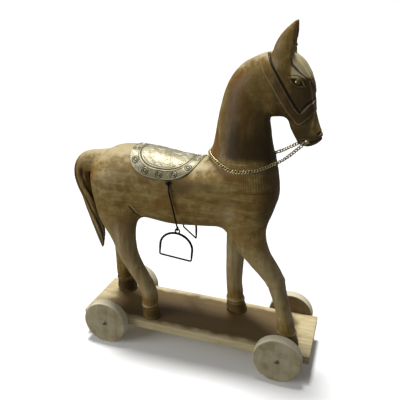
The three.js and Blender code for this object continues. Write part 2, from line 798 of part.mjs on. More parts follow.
// A strap is nailed through its top eye, bends out over the barrel and hangs in its lower eye.
const STRAP_REACH = 69;
const STRAP_CLEARANCE = 1.6;
const strapTop = (side) => {
  const out = side * (STRAP_CLEARANCE / 2 + STRAP_ROD_DIAMETER / 2);
  return strapNailAt[side].clone().add(new THREE.Vector3(0, out, 0));
};
const strapLean = { [NEAR]: 15, [FAR]: -1 };
const stirrupTilt = { [NEAR]: 5, [FAR]: 0 };
const stirrupTurn = { [NEAR]: 0, [FAR]: -45 };
const strapFoot = (side) => {
  const drop = Math.sqrt(STRAP_REACH ** 2 - strapLean[side] ** 2);
  const foot = strapTop(side).add(new THREE.Vector3(strapLean[side], 0, -drop));
  foot.y = side * (barrelHalfWidth + STRAP_CLEARANCE + STRAP_ROD_DIAMETER / 2);
  return foot;
};
const barrelHalfWidth = Math.abs(onHorseSurface(-30, NEAR * 47, 210).y);

function strap(side) {
  const [top, foot] = [strapTop(side), strapFoot(side)];
  const eye = STRAP_EYE_DIAMETER / 2;
  const bendAt = top.clone().lerp(foot, 0.16);
  bendAt.y = foot.y;
  const down = foot.clone().sub(top).setY(0).normalize();
  const start = top.clone().addScaledVector(down, eye);
  const end = foot.clone().addScaledVector(down, -eye);
  const shaft = rod([start, bendAt, bendAt.clone().lerp(end, 0.5), end], STRAP_ROD_DIAMETER, 6);
  const topEye = wireEye(STRAP_EYE_DIAMETER, STRAP_EYE_WIRE).translate([top.x, top.y, top.z]);
  const lowEye = wireEye(STRAP_EYE_DIAMETER, STRAP_EYE_WIRE).rotate([0, 0, 90 + stirrupTurn[side]]);
  return shaft.add(topEye).add(lowEye.translate([foot.x, foot.y, foot.z]));
}

// The stirrup's own eye is at the origin and the D hangs below it.
const STIRRUP_CORNER = 0.12;
const STIRRUP_ARCH_RISE = 0.92;
const ARCH_STEPS = 9;

function stirrup() {
  const half = STIRRUP_WIDTH / 2;
  const top = -STIRRUP_EYE_DIAMETER / 2 - STIRRUP_EYE_WIRE / 4;
  const bar = top - STIRRUP_HEIGHT;
  const corner = STIRRUP_CORNER * STIRRUP_WIDTH;
  const rise = STIRRUP_ARCH_RISE * half;
  const points = [];
  for (let n = 0; n <= ARCH_STEPS; n += 1) {
    const angle = (Math.PI * n) / ARCH_STEPS;
    points.push(new THREE.Vector3(half * Math.cos(angle), 0, top - rise + rise * Math.sin(angle)));
  }
  points.push(new THREE.Vector3(-half, 0, bar + corner));
  points.push(new THREE.Vector3(-half + corner * 0.3, 0, bar + corner * 0.3));
  points.push(new THREE.Vector3(-half + corner, 0, bar));
  points.push(new THREE.Vector3(half - corner, 0, bar));
  points.push(new THREE.Vector3(half - corner * 0.3, 0, bar + corner * 0.3));
  points.push(new THREE.Vector3(half, 0, bar + corner));
  const thickness = (point) => (point.z > bar + corner ? STIRRUP_ARCH_WIRE : STIRRUP_BAR_WIRE) / 2;
  return wireLoop(points, thickness, WIRE_SIDES).add(wireEye(STIRRUP_EYE_DIAMETER, STIRRUP_EYE_WIRE));
}

// How far below the strap's lower eye the stirrup's eye hangs, wire on wire.
const eyesInside = STRAP_EYE_DIAMETER - STRAP_EYE_WIRE + STIRRUP_EYE_DIAMETER - STIRRUP_EYE_WIRE;
const eyeHang = eyesInside / 2 - TOUCHING_GAP;

// The chain runs from one mouth nail down to the neck, round the withers and back to the other nail.
// Points that rest on the neck are settled on it.
const chainNear = [
  [137.5, -15.5, 296.5],
  [126, -17, 285.5],
  [115.5, -17.5, 277.5],
];
const chainOnNeck = [
  [104.5, -17, 272.5],
  [97, -25, 270],
  [84.5, -33, 266],
  [68, -37, 263.7],
  [53, -36.5, 264.5],
  [38.5, -31, 269.5],
  [26, -22, 275],
  [17.5, -9.5, 278.5],
  [15.5, 0, 279.5],
  [17.5, 9.5, 278.5],
  [26, 22, 275.5],
  [38.5, 31, 271],
  [53, 36, 267.5],
  [68, 36, 267],
  [84.5, 32, 270],
  [97, 24, 276],
  [103, 15, 280],
];
const chainFar = [
  [114, 15, 285],
  [126, 15, 292],
  [138, 14.5, 299.5],
];
const CHAIN_SIDES = 4;
const CHAIN_STEPS = 44;

function chain() {
  const lift = CHAIN_DIAMETER / 2 + TOUCHING_GAP + 0.3;
  const endGap = MOUTH_NAIL.shankDiameter / 2 + TOUCHING_GAP;
  const end = (side, towards) => {
    const nailMiddle = mouthNailAt[side].clone();
    nailMiddle.y += side * (MOUTH_NAIL_NECK / 2);
    const back = onHorse(...towards).sub(nailMiddle).normalize();
    return nailMiddle.addScaledVector(back, endGap);
  };
  const points = [
    end(NEAR, chainNear[0]),
    ...chainNear.map((point) => onHorse(...point)),
    ...chainOnNeck.map((point) => onHorseSurface(...point, lift)),
    ...chainFar.map((point) => onHorse(...point)),
    end(FAR, chainFar[chainFar.length - 1]),
  ];
  return rod(points, CHAIN_DIAMETER, CHAIN_STEPS, CHAIN_SIDES);
}

// An eye is a brass tack whose domed head sits in a shallow round seat.
function eyeTack() {
  const radius = EYE_DIAMETER / 2;
  const profile = [
    [0, 0],
    [radius, 0],
    [radius, EYE_HEIGHT * 0.35],
    [radius * 0.7, EYE_HEIGHT * 0.85],
    [0, EYE_HEIGHT],
  ];
  return turned(profile, NAIL_SIDES + 2);
}

// Assembly. The near side of the drawing is the horse's right.
const statue = new THREE.Group();
const onPlank = new THREE.Group();
onPlank.position.z = plankTop;
statue.add(onPlank);

const sideName = { [NEAR]: "right", [FAR]: "left" };

function addPiece(name, solid, material, parent, place = [0, 0, 0]) {
  const mesh = new THREE.Mesh(geometryOf(solid), material);
  mesh.name = name;
  mesh.position.set(...place);
  parent.add(mesh);
  return mesh;
}

addPiece("horse", carvedHorse(), stainedWood, onPlank);
addPiece("plank", plank(), plankWood, onPlank);
addPiece("saddle", saddle(), brass, onPlank);
addPiece("rein_chain", chain(), brass, onPlank);

for (const side of [NEAR, FAR]) {
  const name = sideName[side];
  const facing = side === NEAR ? Math.PI : 0;
  for (const [end, endName] of [
    [1, "front"],
    [-1, "rear"],
  ]) {
    const hub = [end * wheelX, side * wheelY, WHEEL_DIAMETER / 2];
    addPiece(`wheel_${endName}_${name}`, wheel(), wheelWood, statue, hub);
    const length = WHEEL_THICKNESS + WHEEL_SIDE_CLEARANCE + AXLE_NAIL_DEPTH_IN_PLANK + TOUCHING_GAP;
    const head = [hub[0], side * (wheelY + WHEEL_THICKNESS / 2 + TOUCHING_GAP), hub[2]];
    const axle = addPiece(`axle_nail_${endName}_${name}`, nail(AXLE_NAIL, length), iron, statue, head);
    axle.rotation.z = facing;
  }

  addPiece(`stirrup_strap_${name}`, strap(side), iron, onPlank);
  const strapNailHead = strapTop(side).add(new THREE.Vector3(0, side * (STRAP_EYE_WIRE / 2 + TOUCHING_GAP), 0));
  const strapNailLength = STRAP_NAIL_DEPTH + Math.abs(strapNailHead.y - strapNailAt[side].y);
  const strapNail = nail(STRAP_NAIL, strapNailLength);
  addPiece(`strap_nail_${name}`, strapNail, iron, onPlank, strapNailHead.toArray()).rotation.z = facing;

  const hang = strapFoot(side);
  hang.z -= eyeHang;
  const foot = addPiece(`stirrup_${name}`, stirrup(), iron, onPlank, hang.toArray());
  const tilt = THREE.MathUtils.degToRad(stirrupTilt[side]);
  foot.rotation.set(0, tilt, THREE.MathUtils.degToRad(stirrupTurn[side]));

  const mouthNailHead = mouthNailAt[side].clone();
  mouthNailHead.y += side * MOUTH_NAIL_NECK;
  const mouthNail = nail(MOUTH_NAIL, MOUTH_NAIL_DEPTH + MOUTH_NAIL_NECK);
  addPiece(`mouth_nail_${name}`, mouthNail, brass, onPlank, mouthNailHead.toArray()).rotation.z = facing;

  const eyeSeat = eyeAt[side].clone();
  eyeSeat.y -= side * (EYE_SEAT_DEPTH - TOUCHING_GAP);
  addPiece(`eye_${name}`, eyeTack(), brass, onPlank, eyeSeat.toArray()).rotation.z = facing;
}

// The origin is on the floor, under the middle of the whole statue.
const whole = new THREE.Box3().setFromObject(statue);
statue.position.set(-(whole.min.x + whole.max.x) / 2, -(whole.min.y + whole.max.y) / 2, -whole.min.z);

export default statue;
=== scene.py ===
"""A carved wooden trojan horse on a wheeled plank, with an embossed saddle, stirrups and a chain rein."""

import math

import bmesh
import bpy
import numpy as np
from mathutils import Matrix, Vector, noise
from mathutils.bvhtree import BVHTree


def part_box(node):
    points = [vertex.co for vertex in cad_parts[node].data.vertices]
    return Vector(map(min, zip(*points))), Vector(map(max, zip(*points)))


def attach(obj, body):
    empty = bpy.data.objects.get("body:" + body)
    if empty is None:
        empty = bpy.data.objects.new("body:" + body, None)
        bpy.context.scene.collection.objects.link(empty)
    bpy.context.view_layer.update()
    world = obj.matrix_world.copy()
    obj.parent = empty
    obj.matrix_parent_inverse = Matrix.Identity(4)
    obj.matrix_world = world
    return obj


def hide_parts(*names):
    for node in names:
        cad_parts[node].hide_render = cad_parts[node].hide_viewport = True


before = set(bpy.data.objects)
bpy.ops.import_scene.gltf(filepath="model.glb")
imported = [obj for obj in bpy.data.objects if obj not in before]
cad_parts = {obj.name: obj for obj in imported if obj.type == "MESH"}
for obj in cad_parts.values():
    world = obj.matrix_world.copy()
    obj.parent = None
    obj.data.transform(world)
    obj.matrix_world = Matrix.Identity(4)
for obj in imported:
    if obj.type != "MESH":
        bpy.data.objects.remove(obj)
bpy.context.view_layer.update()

# The horse. Pale hardwood glued up from blocks, sawn to the outline and carved with gouges and knives.
# The bridle, lids, forelock, mouth and the strands of the tail are cut into it, so it is all one piece.
# Its carving is drawn in millimetres from the middle of the plank's top.
MM = 0.001
plank_low, plank_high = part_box("plank")
DRAWING_ORIGIN = Vector(((plank_low[0] + plank_high[0]) / 2, 0, plank_high[2]))


def ease(value, low, high):
    """0 below low, 1 above high, with a soft start and end."""
    share = np.clip((value - low) / (high - low), 0, 1)
    return share * share * (3 - 2 * share)


def ridge(distance, half_width):
    """1 on a line, falling to 0 beside it."""
    return np.exp(-((distance / half_width) ** 2))


def patch(x, z, at, reach):
    """1 at a spot on the horse's side, falling to 0 round it."""
    return ridge(x - at[0], reach[0]) * ridge(z - at[1], reach[1])


def along_line(line, x, z):
    """Distance to a line of points, positive on its right as it runs, and the way along it."""
    nearest = np.full(x.shape, 1e9)
    signed = np.zeros(x.shape)
    travelled = np.zeros(x.shape)
    run = 0.0
    for (x0, z0), (x1, z1) in zip(line, line[1:]):
        length = math.hypot(x1 - x0, z1 - z0)
        ahead = (x1 - x0) / length, (z1 - z0) / length
        share = np.clip(((x - x0) * ahead[0] + (z - z0) * ahead[1]) / length, 0, 1)
        dx = x - x0 - share * (x1 - x0)
        dz = z - z0 - share * (z1 - z0)
        distance = np.hypot(dx, dz)
        side = np.where(dx * ahead[1] - dz * ahead[0] >= 0, 1.0, -1.0)
        closer = distance < nearest
        signed = np.where(closer, side * distance, signed)
        travelled = np.where(closer, run + share * length, travelled)
        nearest = np.minimum(distance, nearest)
        run += length
    return signed, travelled


def bridle_relief(x, y, z):
    """A flat strap between two thin beads, with a deep cut beside its inner edge. Also where the strap is."""
    strap = [(84, 416), (93.4, 397.4), (100.6, 387), (108.3, 375.4), (116.7, 362.2), (125.5, 348.7)]
    strap += [(136.8, 335.2), (144.5, 343), (151, 351), (157, 356), (166, 358)]
    half_width = 5.9
    across, _ = along_line(strap, x, z)
    across = -across
    on_head = ease(x, 76, 84) * ease(z, 318, 326)
    inside = 1 - ease(np.abs(across), half_width - 0.5, half_width + 0.4)
    beads = 0.6 * ridge(-across - half_width + 0.3, 0.9) + 0.35 * ridge(across - half_width + 0.6, 0.8)
    cuts = -1.7 * ridge(across - half_width - 1.3, 1.5) - 0.4 * ridge(-across - half_width - 1.0, 0.8)
    return on_head * (0.5 * inside + beads + cuts), on_head * inside


def eye_relief(x, y, z):
    """Almond lids round a hollow that the brass eye sits in, and a crease over the upper lid."""
    middle, lean = (130.9, 383.6), math.radians(-28)
    half_length, half_height = 10.2, 4.0
    u = (x - middle[0]) * math.cos(lean) + (z - middle[1]) * math.sin(lean)
    v = -(x - middle[0]) * math.sin(lean) + (z - middle[1]) * math.cos(lean)
    lid = half_height * (1 - np.clip(np.abs(u) / half_length, 0, 1) ** 2)
    beyond = np.abs(v) - lid
    near = 1 - ease(np.hypot(u, v), half_length + 1, half_length + 5)
    hollow = -0.9 * (1 - ease(beyond, -1.4, -0.2))
    upper = 0.6 * ridge(v - lid - 0.6, 1.0) * (v > -1)
    lower = 0.2 * ridge(-v - lid - 0.5, 0.9) * (v < 1)
    crease = -0.7 * ridge(v - lid - 3.2, 0.9) - 0.5 * ridge(-v - lid - 2.4, 0.8)
    return near * (hollow + upper + lower + crease)


def face_relief(x, y, z):
    """The long edge between the cheek and the flat of the nose, and the hollow under the eye."""
    edge = [(143, 398), (145.1, 386), (148, 374), (151, 362), (153.7, 348.7), (154.3, 341), (154.2, 319.6)]
    in_front, travel = along_line(edge, x, z)
    shown = ease(travel, 4, 16) * (1 - ease(travel, 66, 78))
    return shown * (1.3 * ridge(in_front, 1.0) - 1.0 * ridge(in_front + 5, 4.0))


def muzzle_relief(x, y, z):
    """Nostrils, the cut of the mouth and the dent over the lower lip."""
    nostril_x, nostril_z = x - 163.2, z - 318.6
    u = nostril_x * 0.82 + nostril_z * 0.57
    v = -nostril_x * 0.57 + nostril_z * 0.82
    round_nostril = np.hypot(u / 3.4, v / 1.9)
    nostril = -1.9 * (1 - ease(round_nostril, 0.3, 1.1)) + 0.3 * ridge(round_nostril - 1.5, 0.35)
    mouth = [(138.5, 305.5), (144, 307.6), (149.5, 309.4), (155, 307), (161, 309.5), (167, 312.5), (180, 314)]
    gap, _ = along_line(mouth, x, z)
    lips = -1.25 * ridge(gap, 1.0) + 0.5 * ridge(gap - 2.6, 1.5) + 0.4 * ridge(gap + 2.4, 1.3)
    chin = -0.7 * ridge(np.hypot((x - 146) / 5, (z - 301.5) / 2), 1)
    return ease(x, 134, 140) * (nostril + lips + chin)


def forelock_relief(x, y, z):
    """A pointed lock of hair on the forehead, between the ears, with fine parallel cuts."""
    half_width = 16.5 * ease(z, 366, 398)
    inside = 1 - ease(np.abs(y) - half_width, -0.8, 0.6)
    on_brow = inside * ease(x, 118, 124) * ease(z, 366, 372) * (1 - ease(z, 424, 430))
    hairs = np.cos(2 * np.pi * 5 * y / np.maximum(half_width, 2.0) / 2)
    edge = -0.8 * ridge(np.abs(y) - half_width - 0.8, 0.9) * ease(x, 119, 124) * ease(z, 370, 378)
    return on_brow * (0.9 + 0.38 * hairs) + edge * (z < 424)


def neck_relief(x, y, z):
    """The neck block is let into the body, which leaves a low step along its foot. Under it the gouge has
    left a row of short upright flutes, which end at the glue line of the breast block."""
    foot = [(120, 279), (105.5, 275), (99, 273.4), (84.5, 269.1), (68.3, 266.7), (53, 267.2)]
    foot += [(37.9, 272.8), (26.3, 278.1), (10, 283)]
    above, _ = along_line(foot, x, z)
    here = (x > 8) * (x < 122) * (z > 225)
    step = -0.9 * ease(above, 5.5, 6.5) * (1 - ease(above, 20, 46)) + 0.4 * ridge(above - 4.8, 1.0)
    breast = ease(x, 44, 54) * ease(z, 236, 239) * (1 - ease(above, -6, -3))
    round_breast = np.arctan2(np.abs(y), x - 50) * 48
    flutes = 0.24 * np.cos(2 * np.pi * round_breast / 3.0) * breast
    glue_line = -0.55 * ridge(z - 235 + 0.02 * (x - 90), 0.7) * ease(x, 56, 66)
    return here * step, flutes * (z > 225) + glue_line


def tail_relief(x, y, z):
    """Long slanting cuts part the tail into strands."""
    middle = [(-172, 247), (-186, 243), (-196, 231), (-199.5, 217), (-198.5, 200), (-191.5, 181)]
    middle += [(-185, 157), (-179, 135), (-175, 114), (-173.5, 90)]
    across, travel = along_line(middle, x, z)
    turn = np.arctan2(y, across)
    hank = ease(travel, 14, 34) * (1 - ease(np.hypot(across, y), 19, 24)) * (x < -164) * (z < 262)
    cut = np.cos(7 * turn + travel * 0.1)
    fine = np.cos(17 * turn + travel * 0.16)
    return hank * (0.9 * np.minimum(cut, 0.3) - 0.1 + 0.16 * fine)


def flank_relief(x, y, z):
    """The fold where the thigh meets the belly: a raised lip over a cut."""
    fold = [(-101, 203), (-93.5, 191.7), (-89.4, 183.9), (-84, 177.2), (-74, 174)]
    distance, travel = along_line(fold, x, z)
    shown = ease(travel, 4, 14) * (1 - ease(travel, 36, 46)) * (np.abs(y) > 22)
    return shown * (1.5 * ridge(distance + 2.6, 2.2) - 1.4 * ridge(distance - 0.6, 1.4))


def hoof_relief(x, y, z):
    """A raised coronet band round the top of each hoof, cut in under its edge, and a cut above it."""
    band = 0.3 * ridge(z - 22.4, 1.6) - 0.65 * ridge(z - 18.6, 0.8) - 0.2 * ridge(z - 26.4, 1.0)
    return band * (z < 34)


def joint_relief(x, y, z):
    """Knife cuts at the knee of the raised fore leg and lengthwise along the shins."""
    knee = 1.2 * ridge(np.hypot(x - 136, z - 107) / 6.5, 1) - 0.8 * ridge(z - 97.5 - 0.3 * (x - 128), 1.3)
    knee *= (x > 110) * (y < 0) * (z < 125)
    around = np.arctan2(np.abs(y) - 31, x - np.interp(z, [25, 60, 100, 140], [52, 50, 48, 46]))
    on_shin = ease(z, 28, 40) * (1 - ease(z, 120, 165)) * (x > 20) * (x < 90) * (y > 0)
    return knee + 0.35 * np.cos(7 * around) * on_shin


def waves_of_the_gouge(points):
    """Low, long waves that the carver's tools leave."""
    waves = [noise.noise(Vector(point) * 0.045) + 0.5 * noise.noise(Vector(point) * 0.11) for point in points]
    return 0.28 * np.array(waves)


def merged_copy(node):
    """A node's own shape with its loose triangles joined up."""
    shape = bmesh.new()
    shape.from_mesh(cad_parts[node].data)
    bmesh.ops.remove_doubles(shape, verts=shape.verts, dist=1e-6)
    return shape


def new_object(name, shape):
    """A piece in the scene from a finished shape."""
    mesh = bpy.data.meshes.new(name)
    shape.to_mesh(mesh)
    shape.free()
    mesh.shade_smooth()
    made = bpy.data.objects.new(name, mesh)
    bpy.context.scene.collection.objects.link(made)
    return made


def apply_modifiers(made):
    """Makes a piece's modifiers part of its mesh."""
    depsgraph = bpy.context.evaluated_depsgraph_get()
    finished = bpy.data.meshes.new_from_object(made.evaluated_get(depsgraph))
    made.modifiers.clear()
    made.data = finished


def positions(mesh):
    """A mesh's points as rows of coordinates."""
    spots = np.empty(len(mesh.vertices) * 3)
    mesh.vertices.foreach_get("co", spots)
    return spots.reshape(-1, 3)


def store(made, attribute, values):
    """Gives each point of a piece a value that its material reads."""
    layer = made.data.attributes.new(attribute, "FLOAT", "POINT")
    layer.data.foreach_set("value", values)


EVEN_MESH, KEPT_SHARE = 2.05, 0.54


def fine_body():
    """The carved body as an even fine mesh, smooth, and finer still on the head and the tail."""
    shape = merged_copy("horse")
    bent, skewed = math.radians(40), math.radians(50)
    bmesh.ops.join_triangles(
        shape, faces=shape.faces, angle_face_threshold=bent, angle_shape_threshold=skewed
    )
    body = new_object("horse_body", shape)
    smooth = body.modifiers.new("smooth", "SUBSURF")
    smooth.levels = smooth.render_levels = 2
    kept = positions(body.data)
    spots = kept.copy()
    for _ in range(3):
        depsgraph = bpy.context.evaluated_depsgraph_get()
        rounded = body.evaluated_get(depsgraph).to_mesh()
        drawn_in = kept - positions(rounded)[: len(kept)]
        step = np.linalg.norm(drawn_in, axis=1, keepdims=True)
        longest = 0.6 * MM
        spots += drawn_in * np.minimum(1, longest / np.maximum(step, 1e-9))
        body.data.vertices.foreach_set("co", spots.ravel())
        body.data.update()
    apply_modifiers(body)
    even = body.modifiers.new("even", "REMESH")
    even.mode = "VOXEL"
    even.voxel_size = EVEN_MESH * MM
    apply_modifiers(body)
    shape = bmesh.new()
    shape.from_mesh(body.data)
    evened(shape, shape.verts, 4)
    fill_holes(shape)
    shape.to_mesh(body.data)
    shape.free()
    plain = body.vertex_groups.new(name="plain")
    plain.add([v.index for v in body.data.vertices if not is_fine(v.co)], 1, "REPLACE")
    fewer = body.modifiers.new("fewer", "DECIMATE")
    fewer.ratio = KEPT_SHARE
    fewer.vertex_group = "plain"
    apply_modifiers(body)
    shape = bmesh.new()
    shape.from_mesh(body.data)
    bpy.data.objects.remove(body)
    carved_part = [face for face in shape.faces if is_fine(face.calc_center_median())]
    edges = list({edge for face in carved_part for edge in face.edges})
    bmesh.ops.subdivide_edges(shape, edges=edges, cuts=1, use_grid_fill=True)
    evened(shape, [v for v in shape.verts if is_fine(v.co)], 2)
    bmesh.ops.triangulate(shape, faces=[face for face in shape.faces if len(face.verts) > 4])
    shape.normal_update()
    return shape


def is_fine(spot):
    """Whether a spot lies where there is fine carving: head, tail, breast, hooves and the flank's fold."""
    x, _, z = (spot - DRAWING_ORIGIN) / MM
    on_head, on_tail = x > 76 and z > 296, x < -170 and z > 60
    on_breast, on_hoof = x > 40 and 231 < z < 274, 15 < z < 27
    on_flank = -108 < x < -68 and 168 < z < 206
    return on_head or on_tail or on_breast or on_hoof or on_flank


def evened(shape, verts, passes, sideways_only=False):
    """Draws points towards their neighbours, a few times over."""
    along = not sideways_only
    for _ in range(passes):
        bmesh.ops.smooth_vert(
            shape, verts=verts, factor=0.5, use_axis_x=along, use_axis_y=True, use_axis_z=along
        )


def fill_holes(shape):
    """Closes the small seats of the nails and eyes, which their heads cover."""
    for node, reach in SEATS.items():
        low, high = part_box(node)
        middle = (Vector(low) + Vector(high)) / 2
        around = [v for v in shape.verts if math.hypot(v.co.x - middle.x, v.co.z - middle.z) < reach * MM]
        around = [v for v in around if v.co.y * middle.y > 0]
        evened(shape, around, 40, sideways_only=True)


SEATS = {
    "eye_right": 6.5,
    "eye_left": 6.5,
    "mouth_nail_right": 3.5,
    "mouth_nail_left": 3.5,
    "strap_nail_right": 4,
    "strap_nail_left": 4,
}


def linear(code):
    """An sRGB hex colour as Blender's linear colour."""
    channels = [int(code[i : i + 2], 16) / 255 for i in (1, 3, 5)]
    return [c / 12.92 if c <= 0.04045 else ((c + 0.055) / 1.055) ** 2.4 for c in channels] + [1]


def new_material(name):
    """An empty material with its node tree and its shader."""
    material = bpy.data.materials.new(name)
    material.use_nodes = True
    tree = material.node_tree
    return material, tree, tree.nodes["Principled BSDF"]


def add(tree, kind, links=None, **settings):
    """Adds a node. Settings name its sockets by number or word, or its own properties."""
    node = tree.nodes.new(kind)
    for key, value in settings.items():
        if key.startswith("in_"):
            node.inputs[int(key[3:])].default_value = value
        else:
            setattr(node, key, value)
    for socket, source in (links or {}).items():
        tree.links.new(source, node.inputs[socket])
    return node


def wood_tones(tree, value, *tones):
    """The tones of a board's fibres, dark to light, each at a level of a value."""
    node = add(tree, "ShaderNodeValToRGB", {0: value})
    elements = node.color_ramp.elements
    while len(elements) < len(tones):
        elements.new(0.5)
    for element, (level, code) in zip(elements, tones):
        element.position = level
        element.color = linear(code)
    return node.outputs["Color"]


def tinted(tree, colour, tint, value, low, high, most=1.0):
    """A colour, a hex code or a socket, that takes on a tint as a value goes from low to high."""
    soft = dict(in_1=low, in_2=high, in_4=most, interpolation_type="SMOOTHSTEP")
    share = add(tree, "ShaderNodeMapRange", {0: value}, **soft).outputs[0]
    mix = add(tree, "ShaderNodeMix", {0: share}, data_type="RGBA", in_7=linear(tint))
    if isinstance(colour, str):
        mix.inputs[6].default_value = linear(colour)
    else:
        tree.links.new(colour, mix.inputs[6])
    return mix.outputs[2]


def surface(tree, shader, colour, value, roughness, strength, depth):
    """Gives a shader its colour, and a roughness and a bump, in millimetres, that follow a value."""
    rough = add(tree, "ShaderNodeMapRange", {0: value}, in_3=roughness[0], in_4=roughness[1])
    bump = add(tree, "ShaderNodeBump", {"Height": value}, in_0=strength, in_1=depth * MM)
    tree.links.new(colour, shader.inputs["Base Color"])
    tree.links.new(rough.outputs[0], shader.inputs["Roughness"])
    tree.links.new(bump.outputs[0], shader.inputs["Normal"])


def grain(tree, stretch):
    """Wood fibre: noise drawn out along the block, with fine pores in it. Returns broad and fine values."""
    place = add(tree, "ShaderNodeTexCoord").outputs["Object"]
    mapping = add(tree, "ShaderNodeMapping", {0: place}, in_3=stretch)
    broad = add(tree, "ShaderNodeTexNoise", {0: mapping.outputs[0]}, in_2=1.0, in_3=6.0, in_4=0.6)
    broad.inputs["Distortion"].default_value = 0.6
    fine = add(tree, "ShaderNodeTexNoise", {0: mapping.outputs[0]}, in_2=5.5, in_3=4.0, in_4=0.7)
    return broad.outputs[0], fine.outputs[0]


def two_way_grain(tree, upright, width, length):
    """Fibre that runs level in the body's blocks and upright in the neck, legs and tail."""
    across, along = 1 / (width * MM), 1 / (length * MM)
    level_values = grain(tree, (along, across, across))
    upright_values = grain(tree, (across, across, along))
    return [
        add(tree, "ShaderNodeMix", {0: upright, 2: level, 3: standing}).outputs[0]
        for level, standing in zip(level_values, upright_values)
    ]


def stained_hardwood():
    """Pale hardwood brushed with brown stain that was wiped off again, then waxed. The stain lies dark in the
    cuts and in cloudy patches, and the upper sides and the edges are rubbed back to the pale wood. Painted
    shade is added in the cuts and hollows, and painted light on the upper sides, the raised carving and the
    edges. The stain attribute carries painted light and shade as well."""
    material, tree, shader = new_material("stained_hardwood")
    upright = add(tree, "ShaderNodeAttribute", attribute_name="upright").outputs["Fac"]
    broad, fine = two_way_grain(tree, upright, 9, 110)
    cloud, _ = two_way_grain(tree, upright, 30, 75)
    place = add(tree, "ShaderNodeTexCoord").outputs["Object"]
    mottle = add(tree, "ShaderNodeTexNoise", {0: place}, in_2=1 / (11 * MM), in_3=4.0, in_4=0.65).outputs[0]
    blotched = add(tree, "ShaderNodeMath", {0: mottle, 2: broad}, in_1=0.6, operation="MULTIPLY_ADD")
    soft = dict(interpolation_type="SMOOTHSTEP")
    tone = add(tree, "ShaderNodeMapRange", {0: blotched.outputs[0]}, in_1=0.45, in_2=1.15, **soft).outputs[0]
    wood = wood_tones(tree, tone, (0.1, "#745923"), (0.5, "#8d733b"), (0.9, "#a08c57"))
    wood = tinted(tree, wood, "#5f461a", fine, 0.48, 0.7, 0.45)
    wood = tinted(tree, wood, "#744a12", cloud, 0.53, 0.3, 0.85)
    clouded = add(tree, "ShaderNodeMapRange", {0: cloud}, in_1=0.45, in_2=0.62, **soft).outputs[0]
    mottled = add(tree, "ShaderNodeMapRange", {0: mottle}, in_1=0.46, in_2=0.66, **soft).outputs[0]
    bleached = add(tree, "ShaderNodeMath", {0: mottled, 1: clouded}, operation="MULTIPLY").outputs[0]
    share = add(tree, "ShaderNodeMath", {0: bleached}, in_1=0.32, operation="MULTIPLY").outputs[0]
    mix = add(tree, "ShaderNodeMix", {0: share, 6: wood}, data_type="RGBA", in_7=linear("#b0a271"))
    wood = mix.outputs[2]

    # The stain attribute carries real stain and painted light and shade together.
    stain = add(tree, "ShaderNodeAttribute", attribute_name="stain").outputs["Fac"]
    uneven = add(tree, "ShaderNodeMapRange", {0: broad}, in_3=-0.5, in_4=0.5).outputs[0]
    stain_and_painted_light_level = add(tree, "ShaderNodeMath", {0: stain, 1: uneven}, operation="ADD").outputs[0]
    # Below zero the level paints the wood paler, as painted light; above zero darker, as stain and painted
    # shade.
    wood = tinted(tree, wood, "#cdc09a", stain_and_painted_light_level, -0.15, -0.9, 0.9)
    wood = tinted(tree, wood, "#372605", stain_and_painted_light_level, 0.1, 0.95, 0.92)

    # Upward faces paler: partly rubbed wear, partly painted light from above.
    facing = add(tree, "ShaderNodeNewGeometry")
    upward = add(tree, "ShaderNodeSeparateXYZ", {0: facing.outputs["Normal"]}).outputs[2]
    worn_and_painted_top_light = add(tree, "ShaderNodeMath", {0: upward, 1: mottle}, operation="ADD").outputs[0]
    wood = tinted(tree, wood, "#cdbf96", worn_and_painted_top_light, 0.95, 1.5, 0.75)
    relief = add(tree, "ShaderNodeAttribute", attribute_name="relief").outputs["Fac"]
    # Raised carving paler, partly rubbed and partly painted highlight; cut-in places darker, partly stain
    # left in them and partly painted shade.
    wood = tinted(tree, wood, "#b0a070", relief, 0.4, 1.3, 0.5)
    wood = tinted(tree, wood, "#2a1c0a", relief, -0.12, -0.7, 0.85)
    # Sharp edges paler and hollows darker: partly rubbed edges and stain in the hollows, partly painted
    # highlight and painted shade.
    wood = tinted(tree, wood, "#cfc09a", facing.outputs["Pointiness"], 0.515, 0.58, 0.7)
    wood = tinted(tree, wood, "#33230f", facing.outputs["Pointiness"], 0.485, 0.42, 0.6)
    surface(tree, shader, wood, fine, (0.36, 0.56), 0.25, 0.4)
    shader.inputs["Specular IOR Level"].default_value = 0.3
    return material


carved = fine_body()
spots = np.array([v.co[:] for v in carved.verts])
ways_out = np.array([v.normal[:] for v in carved.verts])
drawn = (spots - np.array(DRAWING_ORIGIN)) / MM
x, y, z = drawn.T
cheeks = ease(np.abs(y), 2.5, 6)
strap_relief, on_strap = bridle_relief(x, y, z)
neck_step, breast_flutes = neck_relief(x, y, z)
relief = cheeks * (strap_relief + eye_relief(x, y, z)) + muzzle_relief(x, y, z) + forelock_relief(x, y, z)
relief += tail_relief(x, y, z) + flank_relief(x, y, z) + hoof_relief(x, y, z) + breast_flutes
form = cheeks * face_relief(x, y, z) + neck_step + joint_relief(x, y, z)
form += 3.2 * ease(ways_out[:, 0], 0.2, 0.9) * (x < -165) * ease(z, 120, 170) * (1 - ease(z, 215, 236))
on_haunch = (x > -172) * (x < -140) * ease(z, 165, 190) * (1 - ease(z, 222, 240))
form -= 1.5 * np.minimum(ways_out[:, 0], 0) * on_haunch
depth = relief + form + waves_of_the_gouge(drawn)
for vertex, spot in zip(carved.verts, spots + ways_out * depth[:, None] * MM):
    vertex.co = spot
carved.normal_update()
horse = new_object("horse_carved", carved)

